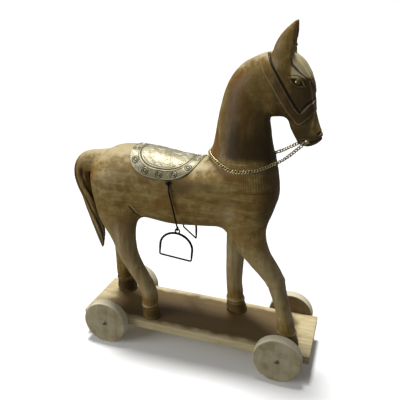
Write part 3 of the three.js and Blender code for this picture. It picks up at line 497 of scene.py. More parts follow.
neck_and_head = ease(z, 262, 285) * ease(x, 0, 30)
legs = 1 - ease(z, 150, 200)
tail = (1 - ease(x, -180, -168)) * (1 - ease(z, 225, 245))
# Real stain at the foot of the neck; the neck and head darker, the strap a little darker and the front of the
# neck darker still.
stain = 0.6 * ease(z, 272, 284) * ease(x, 18, 50) * (1 - 0.45 * ease(z, 330, 395))
stain += 0.35 * ridge(z - 290, 24) * ease(x, 30, 60)
stain += 0.12 * cheeks * on_strap * (1 - ease(z, 375, 400)) + 0.26 * ease(x, 90, 112) * ease(z, 280, 380)
# The nose a little darker and the front of the muzzle paler.
stain += 0.15 * ease(x, 120, 132) * ease(z, 330, 350) - 0.4 * ease(x, 148, 156) * ease(z, 312, 322)
# Painted shade over the chest.
stain += 0.6 * ease(x, 82, 106) * ease(z, 165, 200) * (1 - ease(z, 262, 290))
# A darker patch on the barrel, and the hooves stained dark.
stain += 0.55 * patch(x, z, (-20, 232), (22, 20)) + 0.62 * (1 - ease(z, 14, 20))
# Painted shadow over the far hind leg below the hock, and a pale line at each coronet.
stain += 0.55 * (x < -110) * (1 - ease(z, 45, 85)) - 0.5 * ridge(z - 22.6, 2.0) * (x > -110)
# Painted light on the top of the hind quarters and down the legs, partly wear; the tail a little darker.
stain += 0.05 * tail - 0.3 * ease(z, 240, 262) * (x < 0) - 0.43 * (1 - ease(z, 120, 215)) * ease(z, 24, 50)
# A darker patch on the side before the saddle, a paler one above it, and a paler one on the shoulder.
stain += 0.4 * patch(x, z, (18, 240), (34, 9)) * ease(z, 215, 230)
stain -= 0.45 * patch(x, z, (12, 262), (16, 9))
stain -= 0.4 * patch(x, z, (52, 205), (20, 20))
# Painted light on the tips of the ears and along the crest.
stain -= 0.35 * ease(z, 430, 452) + 0.25 * ease(x, 70, 96) * ease(z, 394, 408) * (x < 122)
# Painted light on the forelock.
brow = ease(x, 120, 126) * ease(z, 386, 392) * (1 - ease(z, 416, 422))
stain -= 2.2 * brow
store(horse, "upright", np.clip(neck_and_head + legs + tail, 0, 1))
store(horse, "stain", stain)
store(horse, "relief", relief)
horse.data.materials.append(stained_hardwood())
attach(horse, "statue")
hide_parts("horse")
horse_surface = BVHTree.FromObject(horse, bpy.context.evaluated_depsgraph_get())


# The plank. One board of the same wood, planed, its edges eased with a knife, stained brown on top and worn
# pale along the edges; the dark middle of the top is partly painted shadow, and the pale edges, ends and
# arrises are partly painted light. The hooves are pegged to it from below.
def board_wood():
    """Planed board: long flat grain, dark stain on the top, partly painted shadow, and pale worn arrises,
    partly painted highlight.
    """
    material, tree, shader = new_material("planed_board")
    broad, fine = grain(tree, (1 / (150 * MM), 1 / (10 * MM), 1 / (10 * MM)))
    wood = wood_tones(tree, broad, (0.25, "#a08c62"), (0.5, "#c9b88c"), (0.75, "#d8caa2"))
    wood = tinted(tree, wood, "#7d6740", fine, 0.5, 0.75, 0.5)
    place = add(tree, "ShaderNodeTexCoord").outputs["Object"]
    cloud = add(tree, "ShaderNodeTexNoise", {0: place}, in_2=1 / (30 * MM), in_3=5.0, in_4=0.6).outputs[0]
    # The mask darkens the middle of the top, partly stain and partly painted shadow, and leaves the edges and
    # ends pale, partly wear and partly painted light.
    brushed_stain_and_painted_light = add(tree, "ShaderNodeAttribute", attribute_name="stain").outputs["Fac"]
    uneven = add(tree, "ShaderNodeMapRange", {0: cloud}, in_3=-0.5, in_4=0.5).outputs[0]
    stain = add(tree, "ShaderNodeMath", {0: brushed_stain_and_painted_light, 1: uneven}, operation="ADD").outputs[0]
    wood = tinted(tree, wood, "#5c4519", stain, 0.1, 0.7, 0.93)
    # Arrises paler: partly wear, partly painted highlight.
    pointed = add(tree, "ShaderNodeNewGeometry").outputs["Pointiness"]
    wood = tinted(tree, wood, "#d6c69b", pointed, 0.51, 0.58)
    surface(tree, shader, wood, fine, (0.45, 0.65), 0.3, 0.4)
    return material


def block(low, high):
    """A box between two corners."""
    shape = bmesh.new()
    size = Vector(high) - Vector(low)
    bmesh.ops.create_cube(shape, size=1)
    bmesh.ops.scale(shape, vec=size, verts=shape.verts)
    bmesh.ops.translate(shape, vec=(Vector(low) + Vector(high)) / 2, verts=shape.verts)
    return shape


def worn(shape, depth, size):
    """Small uneven dents of hand work over a shape, depth and size in millimetres."""
    shape.normal_update()
    moves = [(v, v.normal * (noise.noise(v.co / (size * MM)) - 0.7) * depth * MM) for v in shape.verts]
    for vertex, move in moves:
        vertex.co += move
    return shape


def finish_piece(made, material, body="statue", nodes=()):
    """Gives a piece its material, its body and the nodes that it stands for."""
    made.data.materials.append(material)
    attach(made, body)
    if nodes:
        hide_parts(*nodes)
    return made


board = block(plank_low, plank_high)
for step, count in ((Vector((1, 0, 0)), 24), (Vector((0, 1, 0)), 8)):
    for n in range(1, count):
        cut = Vector(plank_low) + (Vector(plank_high) - Vector(plank_low)) * n / count
        whole = list(board.verts) + list(board.edges) + list(board.faces)
        bmesh.ops.bisect_plane(board, geom=whole, plane_co=cut, plane_no=step)
sharp = [e for e in board.edges if e.is_manifold and e.calc_face_angle() > 1]
eased = dict(offset=1.3 * MM, offset_type="OFFSET", affect="EDGES", segments=3, profile=0.5, material=-1)
bmesh.ops.bevel(board, geom=sharp, **eased)
bmesh.ops.subdivide_edges(board, edges=list(board.edges), cuts=2, use_grid_fill=True)
worn(board, 0.25, 18)
plank = new_object("plank_board", board)
spots = (positions(plank.data) - np.array(DRAWING_ORIGIN)) / MM
# Darker over the middle of the top, paler towards its edges and ends: partly stain and wear, partly painted
# shadow and light.
from_end, from_side = 185 - np.abs(spots[:, 0]), 53 - np.abs(spots[:, 1])
on_top = ease(spots[:, 2], -0.9, -0.3)
store(plank, "stain", on_top * ease(from_end, 0, 60) * ease(from_side, -4, 26))
finish_piece(plank, board_wood(), nodes=["plank"])


# The wheels. Four plain discs sawn from a board and sanded round, so the grain runs straight across each
# face. Left pale: greyed by handling on the faces, and rubbed paler on the tread and the rims, which is
# partly painted light; the inner faces are darker, partly stain and partly painted shade.
INNER_FACE_AT = 54 * MM


def disc_wood():
    """Greyed bare wood: faint flat grain across the face, cloudy with handling, almost no gloss. The inner
    faces were stained with the plank and carry painted shade as well; the tread and rims are paler, partly
    worn and partly painted light."""
    material, tree, shader = new_material("greyed_disc_wood")
    broad, fine = grain(tree, (1 / (12 * MM), 1 / (12 * MM), 1 / (130 * MM)))
    place = add(tree, "ShaderNodeTexCoord").outputs["Object"]
    cloud = add(tree, "ShaderNodeTexNoise", {0: place}, in_2=1 / (22 * MM), in_3=5.0, in_4=0.62).outputs[0]
    wood = wood_tones(tree, cloud, (0.3, "#948560"), (0.5, "#b0a583"), (0.68, "#bdb595"))
    wood = tinted(tree, wood, "#8d7b50", broad, 0.52, 0.7, 0.45)
    wood = tinted(tree, wood, "#756748", fine, 0.5, 0.78, 0.4)
    # Inner faces darker: partly stain, partly painted shade.
    outward = add(tree, "ShaderNodeSeparateXYZ", {0: place}).outputs[1]
    outward = add(tree, "ShaderNodeMath", {0: outward}, operation="ABSOLUTE").outputs[0]
    wood = tinted(tree, wood, "#573d12", outward, INNER_FACE_AT + 0.8 * MM, INNER_FACE_AT, 0.88)
    facing = add(tree, "ShaderNodeNewGeometry")
    # Tread and rims paler: partly wear, partly painted light.
    tread_wear_and_painted_light = add(tree, "ShaderNodeSeparateXYZ", {0: facing.outputs["Normal"]}).outputs[1]
    tread_wear_and_painted_light = add(tree, "ShaderNodeMath", {0: tread_wear_and_painted_light}, operation="ABSOLUTE").outputs[0]
    wood = tinted(tree, wood, "#e6dfc4", tread_wear_and_painted_light, 0.8, 0.5, 0.62)
    wood = tinted(tree, wood, "#ddd5b6", facing.outputs["Pointiness"], 0.51, 0.57, 0.7)
    tree.links.new(wood, shader.inputs["Base Color"])
    shader.inputs["Roughness"].default_value = 0.62
    bump = add(tree, "ShaderNodeBump", {"Height": fine}, in_0=0.3, in_1=0.4 * MM)
    tree.links.new(bump.outputs[0], shader.inputs["Normal"])
    return material


def turned(profile, centre, side, segments):
    """A profile of (radius, height) in millimetres, turned about an axis along Y, its height towards side."""
    shape = bmesh.new()
    ring = [shape.verts.new((radius * MM, height * MM * side, 0)) for radius, height in profile]
    edges = [shape.edges.new(pair) for pair in zip(ring, ring[1:])]
    bmesh.ops.spin(
        shape,
        geom=ring + edges,
        axis=(0, 1, 0),
        cent=(0, 0, 0),
        angle=2 * math.pi,
        steps=segments,
        use_merge=True,
    )
    bmesh.ops.remove_doubles(shape, verts=shape.verts, dist=1e-6)
    bmesh.ops.recalc_face_normals(shape, faces=shape.faces)
    bmesh.ops.translate(shape, vec=centre, verts=shape.verts)
    return shape


def arc(radius, height, size, start, end, steps=4):
    """Points on a quarter round, for a profile."""
    turns = [math.radians(start + (end - start) * n / steps) for n in range(steps + 1)]
    return [(radius + size * math.cos(turn), height + size * math.sin(turn)) for turn in turns]


disc_material = disc_wood()
wheel_radius, wheel_half, bore, edge = 36, 8, 1.75, 1.8
face_rings = (bore, 2.6, 4, 16, 28)
for wheel_end in ("front", "rear"):
    for wheel_side, side in (("right", -1), ("left", 1)):
        node = f"wheel_{wheel_end}_{wheel_side}"
        low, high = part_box(node)
        centre = (Vector(low) + Vector(high)) / 2
        profile = [(radius, -wheel_half) for radius in face_rings]
        profile += arc(wheel_radius - edge, edge - wheel_half, edge, -90, 0)
        profile += [(wheel_radius, -3), (wheel_radius, 3)]
        profile += arc(wheel_radius - edge, wheel_half - edge, edge, 0, 90)
        profile += [(radius, wheel_half) for radius in reversed(face_rings)] + [(bore, -wheel_half)]
        wheel = worn(turned(profile, centre, side, 96), 0.16, 9)
        body = f"{wheel_end}_{wheel_side}"
        finish_piece(new_object(f"{node}_disc", wheel), disc_material, body, [node])


# Nails. Iron wire nails with a flat domed head: one through each wheel into the plank's edge, and one
# through the top eye of each stirrup strap. The heads are dull and a little rusty.
def nail_iron(name, clean, rusty):
    """Drawn iron: soft broken highlights and a trace of rust. Black with oil, or grey where it is dusty."""
    material, tree, shader = new_material(name)
    place = add(tree, "ShaderNodeTexCoord").outputs["Object"]
    rust = add(tree, "ShaderNodeTexNoise", {0: place}, in_2=1 / (2.5 * MM), in_3=4.0, in_4=0.6).outputs[0]
    metal = tinted(tree, clean, rusty, rust, 0.55, 0.72)
    shader.inputs["Metallic"].default_value = 1
    surface(tree, shader, metal, rust, (0.36, 0.62), 0.25, 0.15)
    return material


iron = nail_iron("blackened_iron", "#2b2a2c", "#43352a")
grey_iron = nail_iron("dusty_grey_iron", "#8b8779", "#7a6c52")


def nail(node, side, shank, head, height, material):
    """A nail in place of a node: the shank's end, the head's flat underside and its dome."""
    low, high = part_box(node)
    outer = high[1] if side > 0 else low[1]
    inner = low[1] if side > 0 else high[1]
    length = abs(outer - inner) / MM
    centre = Vector(((low[0] + high[0]) / 2, inner, (low[2] + high[2]) / 2))
    under = length - height
    profile = [(0, 0), (shank * 0.3, 0.3), (shank, 1.6), (shank, under), (head - 0.25, under)]
    profile += [(head, under + 0.25)]
    profile += [(head * out, under + height * up) for out, up in ((0.93, 0.5), (0.6, 0.86), (0.3, 0.97))]
    profile += [(0, length)]
    shape = turned(profile, centre, side, 24)
    finish_piece(new_object(f"{node}_turned", shape), material, nodes=[node])


for nail_side, side in (("right", -1), ("left", 1)):
    nail(f"axle_nail_front_{nail_side}", side, 1.6, 3.5, 1.4, grey_iron)
    nail(f"axle_nail_rear_{nail_side}", side, 1.6, 3.5, 1.4, grey_iron)
    nail(f"strap_nail_{nail_side}", side, 1.1, 3.0, 1.4, iron)


# The saddle. A thin sheet of pale brass, embossed from below and nailed over the back so that it follows
# the barrel. It has a rolled rim, a band of round bosses, a raised line, and leaves on a scrolled field.
SADDLE_MIDDLE = -49.0
SADDLE_HALF_LENGTH = 54.0
SADDLE_HALF_ANGLE = 61.0
SADDLE_BARREL = 52.0
SADDLE_SQUARENESS = 2.5
SADDLE_REACH = 53.0
SADDLE_SHEET = 0.7
BARREL_AXIS_HEIGHT, OUTSIDE_THE_HORSE = 217, 95
BOSS_COUNT = 14
BOSS_FROM_EDGE = 6.8
LINE_FROM_EDGE = 12.8


def superellipse(u, v):
    """How far out a spot lies on a rounded oblong: 0 in its middle, 1 on its edge."""
    return (np.abs(u) ** SADDLE_SQUARENESS + np.abs(v) ** SADDLE_SQUARENESS) ** (1 / SADDLE_SQUARENESS)


def leaf(s, t, at_s, at_t, heading, length, width):
    """One raised leaf with a vein cut down its middle, at a place and heading on the sheet."""
    heading = math.radians(heading)
    u = (s - at_s) * math.cos(heading) + (t - at_t) * math.sin(heading)
    v = -(s - at_s) * math.sin(heading) + (t - at_t) * math.cos(heading)
    share = np.clip(u / length, 0, 1)
    half = width * np.sin(np.pi * share**0.8) * ((u > 0) & (u < length))
    inside = 1 - ease(np.abs(v) - half, -0.5, 0.3)
    vein = 0.5 * ridge(v, 0.35) * (half > 0.6)
    return np.where(half > 0.05, inside * (0.95 - vein), 0)


def curls(s, t):
    """A close scroll of fine raised lines: the level lines of a few crossed waves."""
    swell = 0
    for n, turn in enumerate((0.1, 0.75, 1.3, 1.9, 2.5, 2.95)):
        across = s * math.cos(turn) + np.abs(t) * math.sin(turn)
        swell = swell + np.sin((0.62 + 0.05 * n) * across + 1.7 * n)
    return ridge(np.mod(swell * 0.62, 1) - 0.5, 0.34)


def saddle_relief(s, t, u, v):
    """Height of the embossing over the sheet, in millimetres: s along the back, t down the side."""
    from_edge = (1 - superellipse(u, v)) * SADDLE_REACH
    rim = 0.7 * ridge(from_edge - 1.1, 1.0)
    line = 0.5 * ridge(from_edge - LINE_FROM_EDGE, 0.8) - 0.3 * ridge(from_edge - LINE_FROM_EDGE - 1.7, 0.7)
    inner_line = 0.3 * ridge(from_edge - LINE_FROM_EDGE - 3.2, 0.6)
    height = rim + line + inner_line
    in_band = ease(from_edge, 2.6, 3.6) * (1 - ease(from_edge, 10.2, 11.2))
    height += 0.3 * in_band * curls(s, t)
    share = 1 - BOSS_FROM_EDGE / SADDLE_REACH
    for n in range(BOSS_COUNT):
        turn = 2 * math.pi * (n + 0.5) / BOSS_COUNT
        flat = superellipse(np.array(math.cos(turn)), np.array(math.sin(turn)))
        at_s = share * math.cos(turn) / flat * SADDLE_HALF_LENGTH
        at_t = share * math.sin(turn) / flat * math.radians(SADDLE_HALF_ANGLE) * SADDLE_BARREL
        away = np.hypot(s - at_s, t - at_t)
        clear = 1 - ease(away, 5.0, 5.7)
        rings = 0.75 * ridge(away - 3.7, 0.65) - 0.35 * ridge(away - 2.5, 0.6) - 0.3 * ridge(away - 5.0, 0.7)
        boss = rings + 0.7 * (1 - ease(away, 0.4, 2.2))
        height = height * (1 - clear) + clear * boss
    field = ease(from_edge, LINE_FROM_EDGE + 4, LINE_FROM_EDGE + 5.5)
    flower = np.zeros(s.shape)
    for hand in (-1, 1):
        for n in range(6):
            flower = np.maximum(flower, leaf(s, t, 4, hand * 19, 60 * n + 20, 9.0, 2.4))
        for at_s, at_t, heading, length in SPRAYS:
            flower = np.maximum(flower, leaf(s, hand * t, at_s, at_t, heading, length, 1.7))
    crest = np.maximum(leaf(s, t, -6, 0, 180, 15, 2.6), leaf(s, t, 6, 0, 0, 15, 2.6))
    flower = np.maximum(flower, crest)
    ground = 0.38 * curls(s, t) * (1 - ease(flower, 0.05, 0.4))
    return height + field * (0.75 * flower + ground)


SPRAYS = [
    (-12, 20, 150, 12),
    (-14, 26, 200, 12),
    (-10, 33, 235, 9),
    (-22, 17, 120, 8),
    (-25, 27, 180, 8),
    (20, 22, 30, 11),
    (22, 28, 345, 11),
    (17, 34, 300, 8),
    (29, 18, 60, 8),
    (-2, 9, 100, 8),
    (10, 9, 75, 8),
    (-20, 6, 160, 10),
    (22, 6, 20, 10),
]


def on_the_back(s, angle, lift):
    """The point where a line from the barrel's middle leaves the horse, raised by lift millimetres."""
    outward = Vector((0, math.sin(angle), math.cos(angle)))
    middle = DRAWING_ORIGIN + Vector((SADDLE_MIDDLE + s, 0, BARREL_AXIS_HEIGHT)) * MM
    spot, normal, _, _ = horse_surface.ray_cast(middle + outward * OUTSIDE_THE_HORSE * MM, -outward)
    return spot + normal * lift * MM


def pale_brass():
    """Nickel-pale brass sheet, polished on the high places, with dark polish left in the low ones, and
    painted shade darkening its lower part.
    """
    material, tree, shader = new_material("pale_brass_sheet")
    place = add(tree, "ShaderNodeTexCoord").outputs["Object"]
    cloud = add(tree, "ShaderNodeTexNoise", {0: place}, in_2=1 / (9 * MM), in_3=5.0, in_4=0.6).outputs[0]
    punches = add(tree, "ShaderNodeTexVoronoi", {0: place}, in_2=1 / (1.1 * MM)).outputs[0]
    sheet = tinted(tree, "#bbb7a2", "#9f9677", cloud, 0.35, 0.7)
    relief = add(tree, "ShaderNodeAttribute", attribute_name="relief").outputs["Fac"]
    sheet = tinted(tree, sheet, "#544c30", relief, 0.14, -0.04, 0.85)
    # Painted shade: the sheet is darker towards its lower edge on the barrel's sides.
    height = add(tree, "ShaderNodeSeparateXYZ", {0: place}).outputs[2]
    sheet = tinted(tree, sheet, "#5d5433", height, 308 * MM, 288 * MM, 0.6)
    low = dict(in_1=0.14, in_2=-0.04, in_3=0.58, in_4=0.7, interpolation_type="SMOOTHSTEP")
    rough = add(tree, "ShaderNodeMapRange", {0: relief}, **low)
    bump = add(tree, "ShaderNodeBump", {"Height": punches}, in_0=0.35, in_1=0.2 * MM)
    tree.links.new(sheet, shader.inputs["Base Color"])
    tree.links.new(rough.outputs[0], shader.inputs["Roughness"])
    tree.links.new(bump.outputs[0], shader.inputs["Normal"])
    shader.inputs["Metallic"].default_value = 1
    return material


sheet = bmesh.new()
bmesh.ops.create_grid(sheet, x_segments=210, y_segments=210, size=1)
square = np.array([v.co[:2] for v in sheet.verts])
disc_u = square[:, 0] * np.sqrt(1 - square[:, 1] ** 2 / 2)
disc_v = square[:, 1] * np.sqrt(1 - square[:, 0] ** 2 / 2)
reach = np.hypot(disc_u, disc_v)
swell = np.where(reach > 1e-6, reach / np.maximum(superellipse(disc_u, disc_v), 1e-9), 1)
oval_u, oval_v = disc_u * swell, disc_v * swell
along_back = oval_u * SADDLE_HALF_LENGTH
down_angle = oval_v * math.radians(SADDLE_HALF_ANGLE)
embossed = saddle_relief(along_back, down_angle * SADDLE_BARREL, oval_u, oval_v)
for vertex, s, angle, height in zip(sheet.verts, along_back, down_angle, embossed):
    vertex.co = on_the_back(s, angle, 1.0 + height)
bmesh.ops.recalc_face_normals(sheet, faces=sheet.faces)
bmesh.ops.solidify(sheet, geom=list(sheet.faces), thickness=SADDLE_SHEET * MM)
saddle = new_object("saddle_sheet", sheet)
store(saddle, "relief", np.resize(embossed, len(saddle.data.vertices)))
finish_piece(saddle, pale_brass(), nodes=["saddle"])


# The stirrups. D-shaped irons, each hung by a small eye in the eye of a thin iron rod, which is bent out
# over the barrel and nailed under the saddle's edge. All bent from round wire.
def wire_along(points, radii, closed, sides=14):
    """Round wire through points: rings that turn with its direction, bridged one to the next."""
    shape = bmesh.new()
    loops = []
    count = len(points)
    guide = None
    for n, radius in enumerate(radii):
        before = points[(n - 1) % count] if closed or n else points[0]
        after = points[(n + 1) % count] if closed or n < count - 1 else points[-1]
        ahead = (after - before).normalized()
        if guide is None:
            guide = ahead.orthogonal().normalized()
        guide = (guide - ahead * guide.dot(ahead)).normalized()
        across = ahead.cross(guide)
        place = Matrix((guide, across, ahead)).transposed().to_4x4()
        place = Matrix.Translation(points[n]) @ place
        ring = bmesh.ops.create_circle(shape, radius=radius * MM, segments=sides, matrix=place)["verts"]
        loops.append(list({edge for v in ring for edge in v.link_edges}))
    for first, second in zip(loops, loops[1:] + loops[:1] if closed else loops[1:]):
        bmesh.ops.bridge_loops(shape, edges=first + second)
    if not closed:
        bmesh.ops.holes_fill(shape, edges=shape.edges, sides=sides)
    bmesh.ops.recalc_face_normals(shape, faces=shape.faces)
    return shape


def joined(shapes):
    """Several shapes as one."""
    whole = bmesh.new()
    for shape in shapes:
        part = bpy.data.meshes.new("part")
        shape.to_mesh(part)
        shape.free()
        whole.from_mesh(part)
        bpy.data.meshes.remove(part)
    return whole


def eye_points(centre, radius, heading, steps=20):
    """A ring of points that stands upright, facing heading."""
    turns = [2 * math.pi * n / steps for n in range(steps)]
    flat = Vector((math.cos(heading), math.sin(heading), 0))
    return [centre + (flat * math.cos(a) + Vector((0, 0, math.sin(a)))) * radius * MM for a in turns]


STRAP_RADIUS, STRAP_EYE, STRAP_EYE_WIRE = 1.25, 2.6, 1.0
STIRRUP_HALF, STIRRUP_DROP, ARCH_WIRE, BAR_WIRE = 25.0, 40.0, 1.75, 1.35
STIRRUP_EYE, STIRRUP_EYE_WIRE, STIRRUP_CORNER = 3.4, 1.1, 2.5
STRAP_BEND_AT = 0.16
STIRRUPS = {
    "right": ((-46.11, 282.25), (-5.55, -49.68, 211.3), 5, 0),
    "left": ((47.37, 277.52), (-22.51, 49.68, 204.93), 0, -45),
}


def stirrup_points():
    """The D, under its eye: an arch, two rounded corners and a straight bar."""
    top = -STIRRUP_EYE - STIRRUP_EYE_WIRE / 2
    bar = top - STIRRUP_DROP
    rise = 0.92 * STIRRUP_HALF
    points = []
    for n in range(33):
        turn = math.pi * n / 32
        points.append((STIRRUP_HALF * math.cos(turn), top - rise + rise * math.sin(turn)))
    points += [(-STIRRUP_HALF, bar + 12), (-STIRRUP_HALF, bar + 4)]
    straight, turns = STIRRUP_HALF - STIRRUP_CORNER, (0.4, 0.8, 1.2)
    across = [STIRRUP_CORNER * math.cos(a) for a in turns]
    beside = [STIRRUP_CORNER * math.sin(a) for a in turns]
    points += [(-straight - c, bar + STIRRUP_CORNER - d) for c, d in zip(across, beside)]
    points += [(-straight + n * straight / 6, bar) for n in range(13)]
    points += [(straight + d, bar + STIRRUP_CORNER - c) for c, d in zip(across, beside)]
    points += [(STIRRUP_HALF, bar + 4), (STIRRUP_HALF, bar + 12)]
    return points


for hand, (nail_at, eye_at, tilt, turn) in STIRRUPS.items():
    side = -1 if hand == "right" else 1
    eye_centre = Vector(eye_at) * MM
    heading = math.radians(turn)
    crossed = heading + math.pi / 2
    eye_drop = STRAP_EYE - STRAP_EYE_WIRE + STIRRUP_EYE - STIRRUP_EYE_WIRE
    low_eye = eye_centre + Vector((0, 0, eye_drop - 0.2)) * MM
    nail_low, nail_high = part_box(f"strap_nail_{hand}")
    top_eye = Vector(((nail_low[0] + nail_high[0]) / 2, nail_at[0] * MM, nail_at[1] * MM))
    down = (low_eye - top_eye).normalized()
    bend = top_eye.lerp(low_eye, STRAP_BEND_AT)
    bend.y = low_eye.y
    corners = [top_eye + down * STRAP_EYE * MM, bend, low_eye - down * STRAP_EYE * MM]
    shaft = []
    for n in range(25):
        share = n / 24
        first = corners[0].lerp(corners[1], min(share / STRAP_BEND_AT, 1))
        second = corners[1].lerp(corners[2], max((share - STRAP_BEND_AT) / (1 - STRAP_BEND_AT), 0))
        shaft.append(first if share < STRAP_BEND_AT else second)
    shaft = [shaft[0]] + [(a + b * 2 + c) / 4 for a, b, c in zip(shaft, shaft[1:], shaft[2:])] + [shaft[-1]]
    strap = joined(
        [
            wire_along(shaft, [STRAP_RADIUS] * len(shaft), False),
            wire_along(eye_points(top_eye, STRAP_EYE, 0), [STRAP_EYE_WIRE] * 20, True, 10),
            wire_along(eye_points(low_eye, STRAP_EYE, crossed), [STRAP_EYE_WIRE] * 20, True, 10),
        ]
    )
    worn(strap, 0.06, 4)
    strap_node = f"stirrup_strap_{hand}"
    finish_piece(new_object(f"{strap_node}_rod", strap), iron, nodes=[strap_node])

    swing = Matrix.Rotation(heading, 4, "Z") @ Matrix.Rotation(math.radians(tilt), 4, "Y")
    outline = [eye_centre + swing @ Vector((px * MM, 0, pz * MM)) for px, pz in stirrup_points()]
    bar_level = -STIRRUP_EYE - STIRRUP_EYE_WIRE / 2 - STIRRUP_DROP
    wires = [ARCH_WIRE if pz > bar_level + 8 else BAR_WIRE for _, pz in stirrup_points()]
    stirrup = joined(
        [
            wire_along(outline, wires, True),
            wire_along(eye_points(eye_centre, STIRRUP_EYE, heading), [STIRRUP_EYE_WIRE] * 20, True, 10),
        ]
    )
    worn(stirrup, 0.06, 4)
    finish_piece(new_object(f"stirrup_{hand}_iron", stirrup), iron, nodes=[f"stirrup_{hand}"])


# The rein. A brass curb chain: oval links of bent wire, each twisted so that they lie flat on each other,
# hooked over a nail at each corner of the mouth and lying round the foot of the neck.
def aged_brass(name, bright, dull):
    """Yellow brass, once polished, dulled brown where nothing rubs it."""
    material, tree, shader = new_material(name)
    place = add(tree, "ShaderNodeTexCoord").outputs["Object"]
    cloud = add(tree, "ShaderNodeTexNoise", {0: place}, in_2=1 / (4 * MM), in_3=4.0, in_4=0.6)
    metal = tinted(tree, bright, dull, cloud.outputs[0], 0.4, 0.68)
    tree.links.new(metal, shader.inputs["Base Color"])
    shader.inputs["Metallic"].default_value = 1
    rough = add(tree, "ShaderNodeMapRange", {0: cloud.outputs[0]}, in_3=0.25, in_4=0.5)
    tree.links.new(rough.outputs[0], shader.inputs["Roughness"])
    return material


brass = aged_brass("chain_brass", "#dccfa0", "#8f7c48")
LINK_LENGTH, LINK_WIDTH, LINK_WIRE, LINK_PITCH = 6.6, 5.4, 0.8, 3.9
LINK_TWIST, LINK_LIFT, NEAR_THE_HORSE = 52, 2.3, 4.5
CHAIN_ROUTE = [
    (148.6, -14.7, 307.6),
    (137.5, -15.5, 296.5),
    (126.0, -17.0, 285.5),
    (115.5, -17.5, 277.5),
    (105.8, -18.0, 272.8),
    (98.2, -26.5, 270.4),
    (85.2, -35.0, 266.6),
    (68.2, -39.2, 264.3),
    (52.8, -39.0, 265.4),
    (37.5, -33.8, 270.6),
    (24.1, -24.3, 275.9),
    (15.1, -10.4, 279.2),
    (13.2, 0.0, 279.8),
    (15.2, 10.5, 279.2),
    (24.2, 24.2, 276.4),
    (37.6, 33.4, 271.9),
    (52.8, 38.0, 268.2),
    (68.2, 38.2, 267.7),
    (85.2, 33.8, 270.4),
    (97.8, 25.0, 276.3),
    (104.9, 16.3, 280.6),
    (114.0, 15.0, 285.0),
    (126.0, 15.0, 292.0),
    (138.0, 14.5, 299.5),
    (148.5, 14.6, 307.7),
]


def even_route(points, pitch):
    """Points a pitch apart on a smooth curve through a route."""
    curve = []
    padded = [points[0]] + points + [points[-1]]
    for a, b, c, d in zip(padded, padded[1:], padded[2:], padded[3:]):
        for n in range(24):
            t = n / 24
            bend = (a - b * 2.5 + c * 2 - d / 2) + t * ((b - c) * 1.5 + (d - a) / 2)
            curve.append(b + t * ((c - a) / 2 + t * bend))
    curve.append(points[-1])
    spaced = [curve[0]]
    for spot in curve[1:]:
        while (spot - spaced[-1]).length >= pitch:
            spaced.append(spaced[-1] + (spot - spaced[-1]).normalized() * pitch)
    return spaced


route = even_route([DRAWING_ORIGIN + Vector(point) * MM for point in CHAIN_ROUTE], LINK_PITCH * MM)
links = []
for n, (here, following) in enumerate(zip(route, route[1:])):
    middle = (here + following) / 2
    on_skin, normal, _, distance = horse_surface.find_nearest(middle)
    outward = (middle - on_skin).normalized() if (middle - on_skin).dot(normal) > 0 else normal
    if distance < NEAR_THE_HORSE * MM:
        middle = on_skin + normal * LINK_LIFT * MM
        outward = normal
    ahead = (following - here).normalized()
    across = ahead.cross(outward).normalized()
    outward = across.cross(ahead)
    stand = Matrix((ahead, across, outward)).transposed().to_4x4()
    half_straight = (LINK_LENGTH - LINK_WIDTH) / 2
    radius = LINK_WIDTH / 2 - LINK_WIRE
    placed = []
    for k in range(14):
        turn = 2 * math.pi * k / 14
        along = radius * math.cos(turn) + (half_straight if math.cos(turn) > 0 else -half_straight)
        twist = math.radians(LINK_TWIST) * along / (LINK_LENGTH / 2)
        out = radius * math.sin(turn)
        placed.append(middle + stand @ Vector((along, out * math.cos(twist), out * math.sin(twist))) * MM)
    links.append(wire_along(placed, [LINK_WIRE] * 14, True, 6))
chain = joined(links)
finish_piece(new_object("rein_chain_links", chain), brass, nodes=["rein_chain"])


# Small brass: a round-headed nail at each corner of the mouth that carries the chain, and a brass tack
# for each eye, which has gone dull and olive in its socket.
eye_brass = aged_brass("dull_eye_brass", "#8a7c45", "#4f4522")
tack_radius, tack_rim, tack_rise = 3.7, 0.9, 2.2
for hand, side in (("right", -1), ("left", 1)):
    nail(f"mouth_nail_{hand}", side, 1.0, 3.2, 2.2, brass)
    low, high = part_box(f"eye_{hand}")
    centre = Vector(((low[0] + high[0]) / 2, low[1] if side > 0 else high[1], (low[2] + high[2]) / 2))
    turns = [math.pi * n / 14 for n in range(7)]
    dome = [(0, 0), (tack_radius, 0)]
    dome += [(tack_radius * math.cos(a), tack_rim + tack_rise * math.sin(a)) for a in turns]
    dome += [(0, tack_rim + tack_rise)]
    tack = turned(dome, centre, side, 28)
    finish_piece(new_object(f"eye_{hand}_tack", tack), eye_brass, nodes=[f"eye_{hand}"])


# The studio. A pale floor and backdrop, a soft light from nearly straight above, a weaker one low on the
# left, and the camera where the photograph was taken.
def plain_paint(name, code):
    """Matt studio paint, one even pale colour."""
    material, tree, shader = new_material(name)
    shader.inputs["Base Color"].default_value = linear(code)
    shader.inputs["Roughness"].default_value = 0.9
    return material


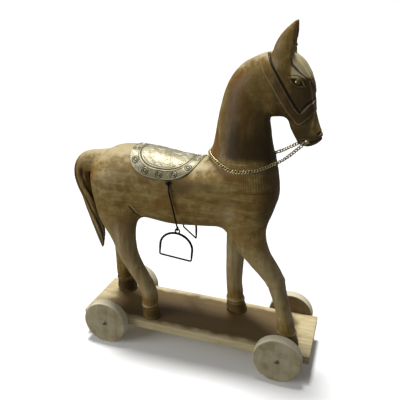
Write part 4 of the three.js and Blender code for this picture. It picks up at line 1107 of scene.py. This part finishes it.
floor_shape = bmesh.new()
bmesh.ops.create_grid(floor_shape, x_segments=1, y_segments=1, size=200)
floor = new_object("studio_floor", floor_shape)
floor.data.materials.append(plain_paint("studio_white", "#fbfbfb"))
floor.visible_diffuse = False
floor.visible_glossy = False

world = bpy.data.worlds.new("studio")
bpy.context.scene.world = world
world.use_nodes = True
backdrop = add(world.node_tree, "ShaderNodeLightPath").outputs["Is Camera Ray"]
strength = add(world.node_tree, "ShaderNodeMapRange", {0: backdrop}, in_3=0.19, in_4=1.0)
background = world.node_tree.nodes["Background"]
background.inputs[0].default_value = (1, 1, 1, 1)
world.node_tree.links.new(strength.outputs[0], background.inputs[1])


def aimed(name, lamp, place, aim):
    """A lamp at a place, turned towards a spot."""
    made = bpy.data.objects.new(name, lamp)
    bpy.context.scene.collection.objects.link(made)
    made.location = place
    made.rotation_euler = (Vector(aim) - Vector(place)).to_track_quat("-Z", "Y").to_euler()


key = bpy.data.lights.new("key", "SUN")
key.energy = 3.2
key.angle = math.radians(11)
aimed("key", key, (-0.14, 0.17, 1), (0, 0, 0))
fill = bpy.data.lights.new("fill", "AREA")
fill.size = 1.4
fill.energy = 28
aimed("fill", fill, (-1.8, -1.5, 0.9), (0, 0, 0.25))

camera_data = bpy.data.cameras.new("camera")
camera_data.lens = 44.05
camera_data.sensor_width = 36
camera = bpy.data.objects.new("camera", camera_data)
bpy.context.scene.collection.objects.link(camera)
yaw, pitch, roll = -0.3236, 0.3862, 0.0067
forward = Vector((math.sin(yaw) * math.cos(pitch), math.cos(yaw) * math.cos(pitch), -math.sin(pitch)))
level = Vector((math.cos(yaw), -math.sin(yaw), 0))
upward = level.cross(forward)
right = level * math.cos(roll) + upward * math.sin(roll)
upward = upward * math.cos(roll) - level * math.sin(roll)
camera.matrix_world = Matrix.Translation(Vector((0.22775, -0.6437, 0.5191))) @ Matrix(
    (right, upward, -forward)
).transposed().to_4x4()
bpy.context.scene.camera = camera
bpy.context.scene.view_settings.view_transform = "Standard"
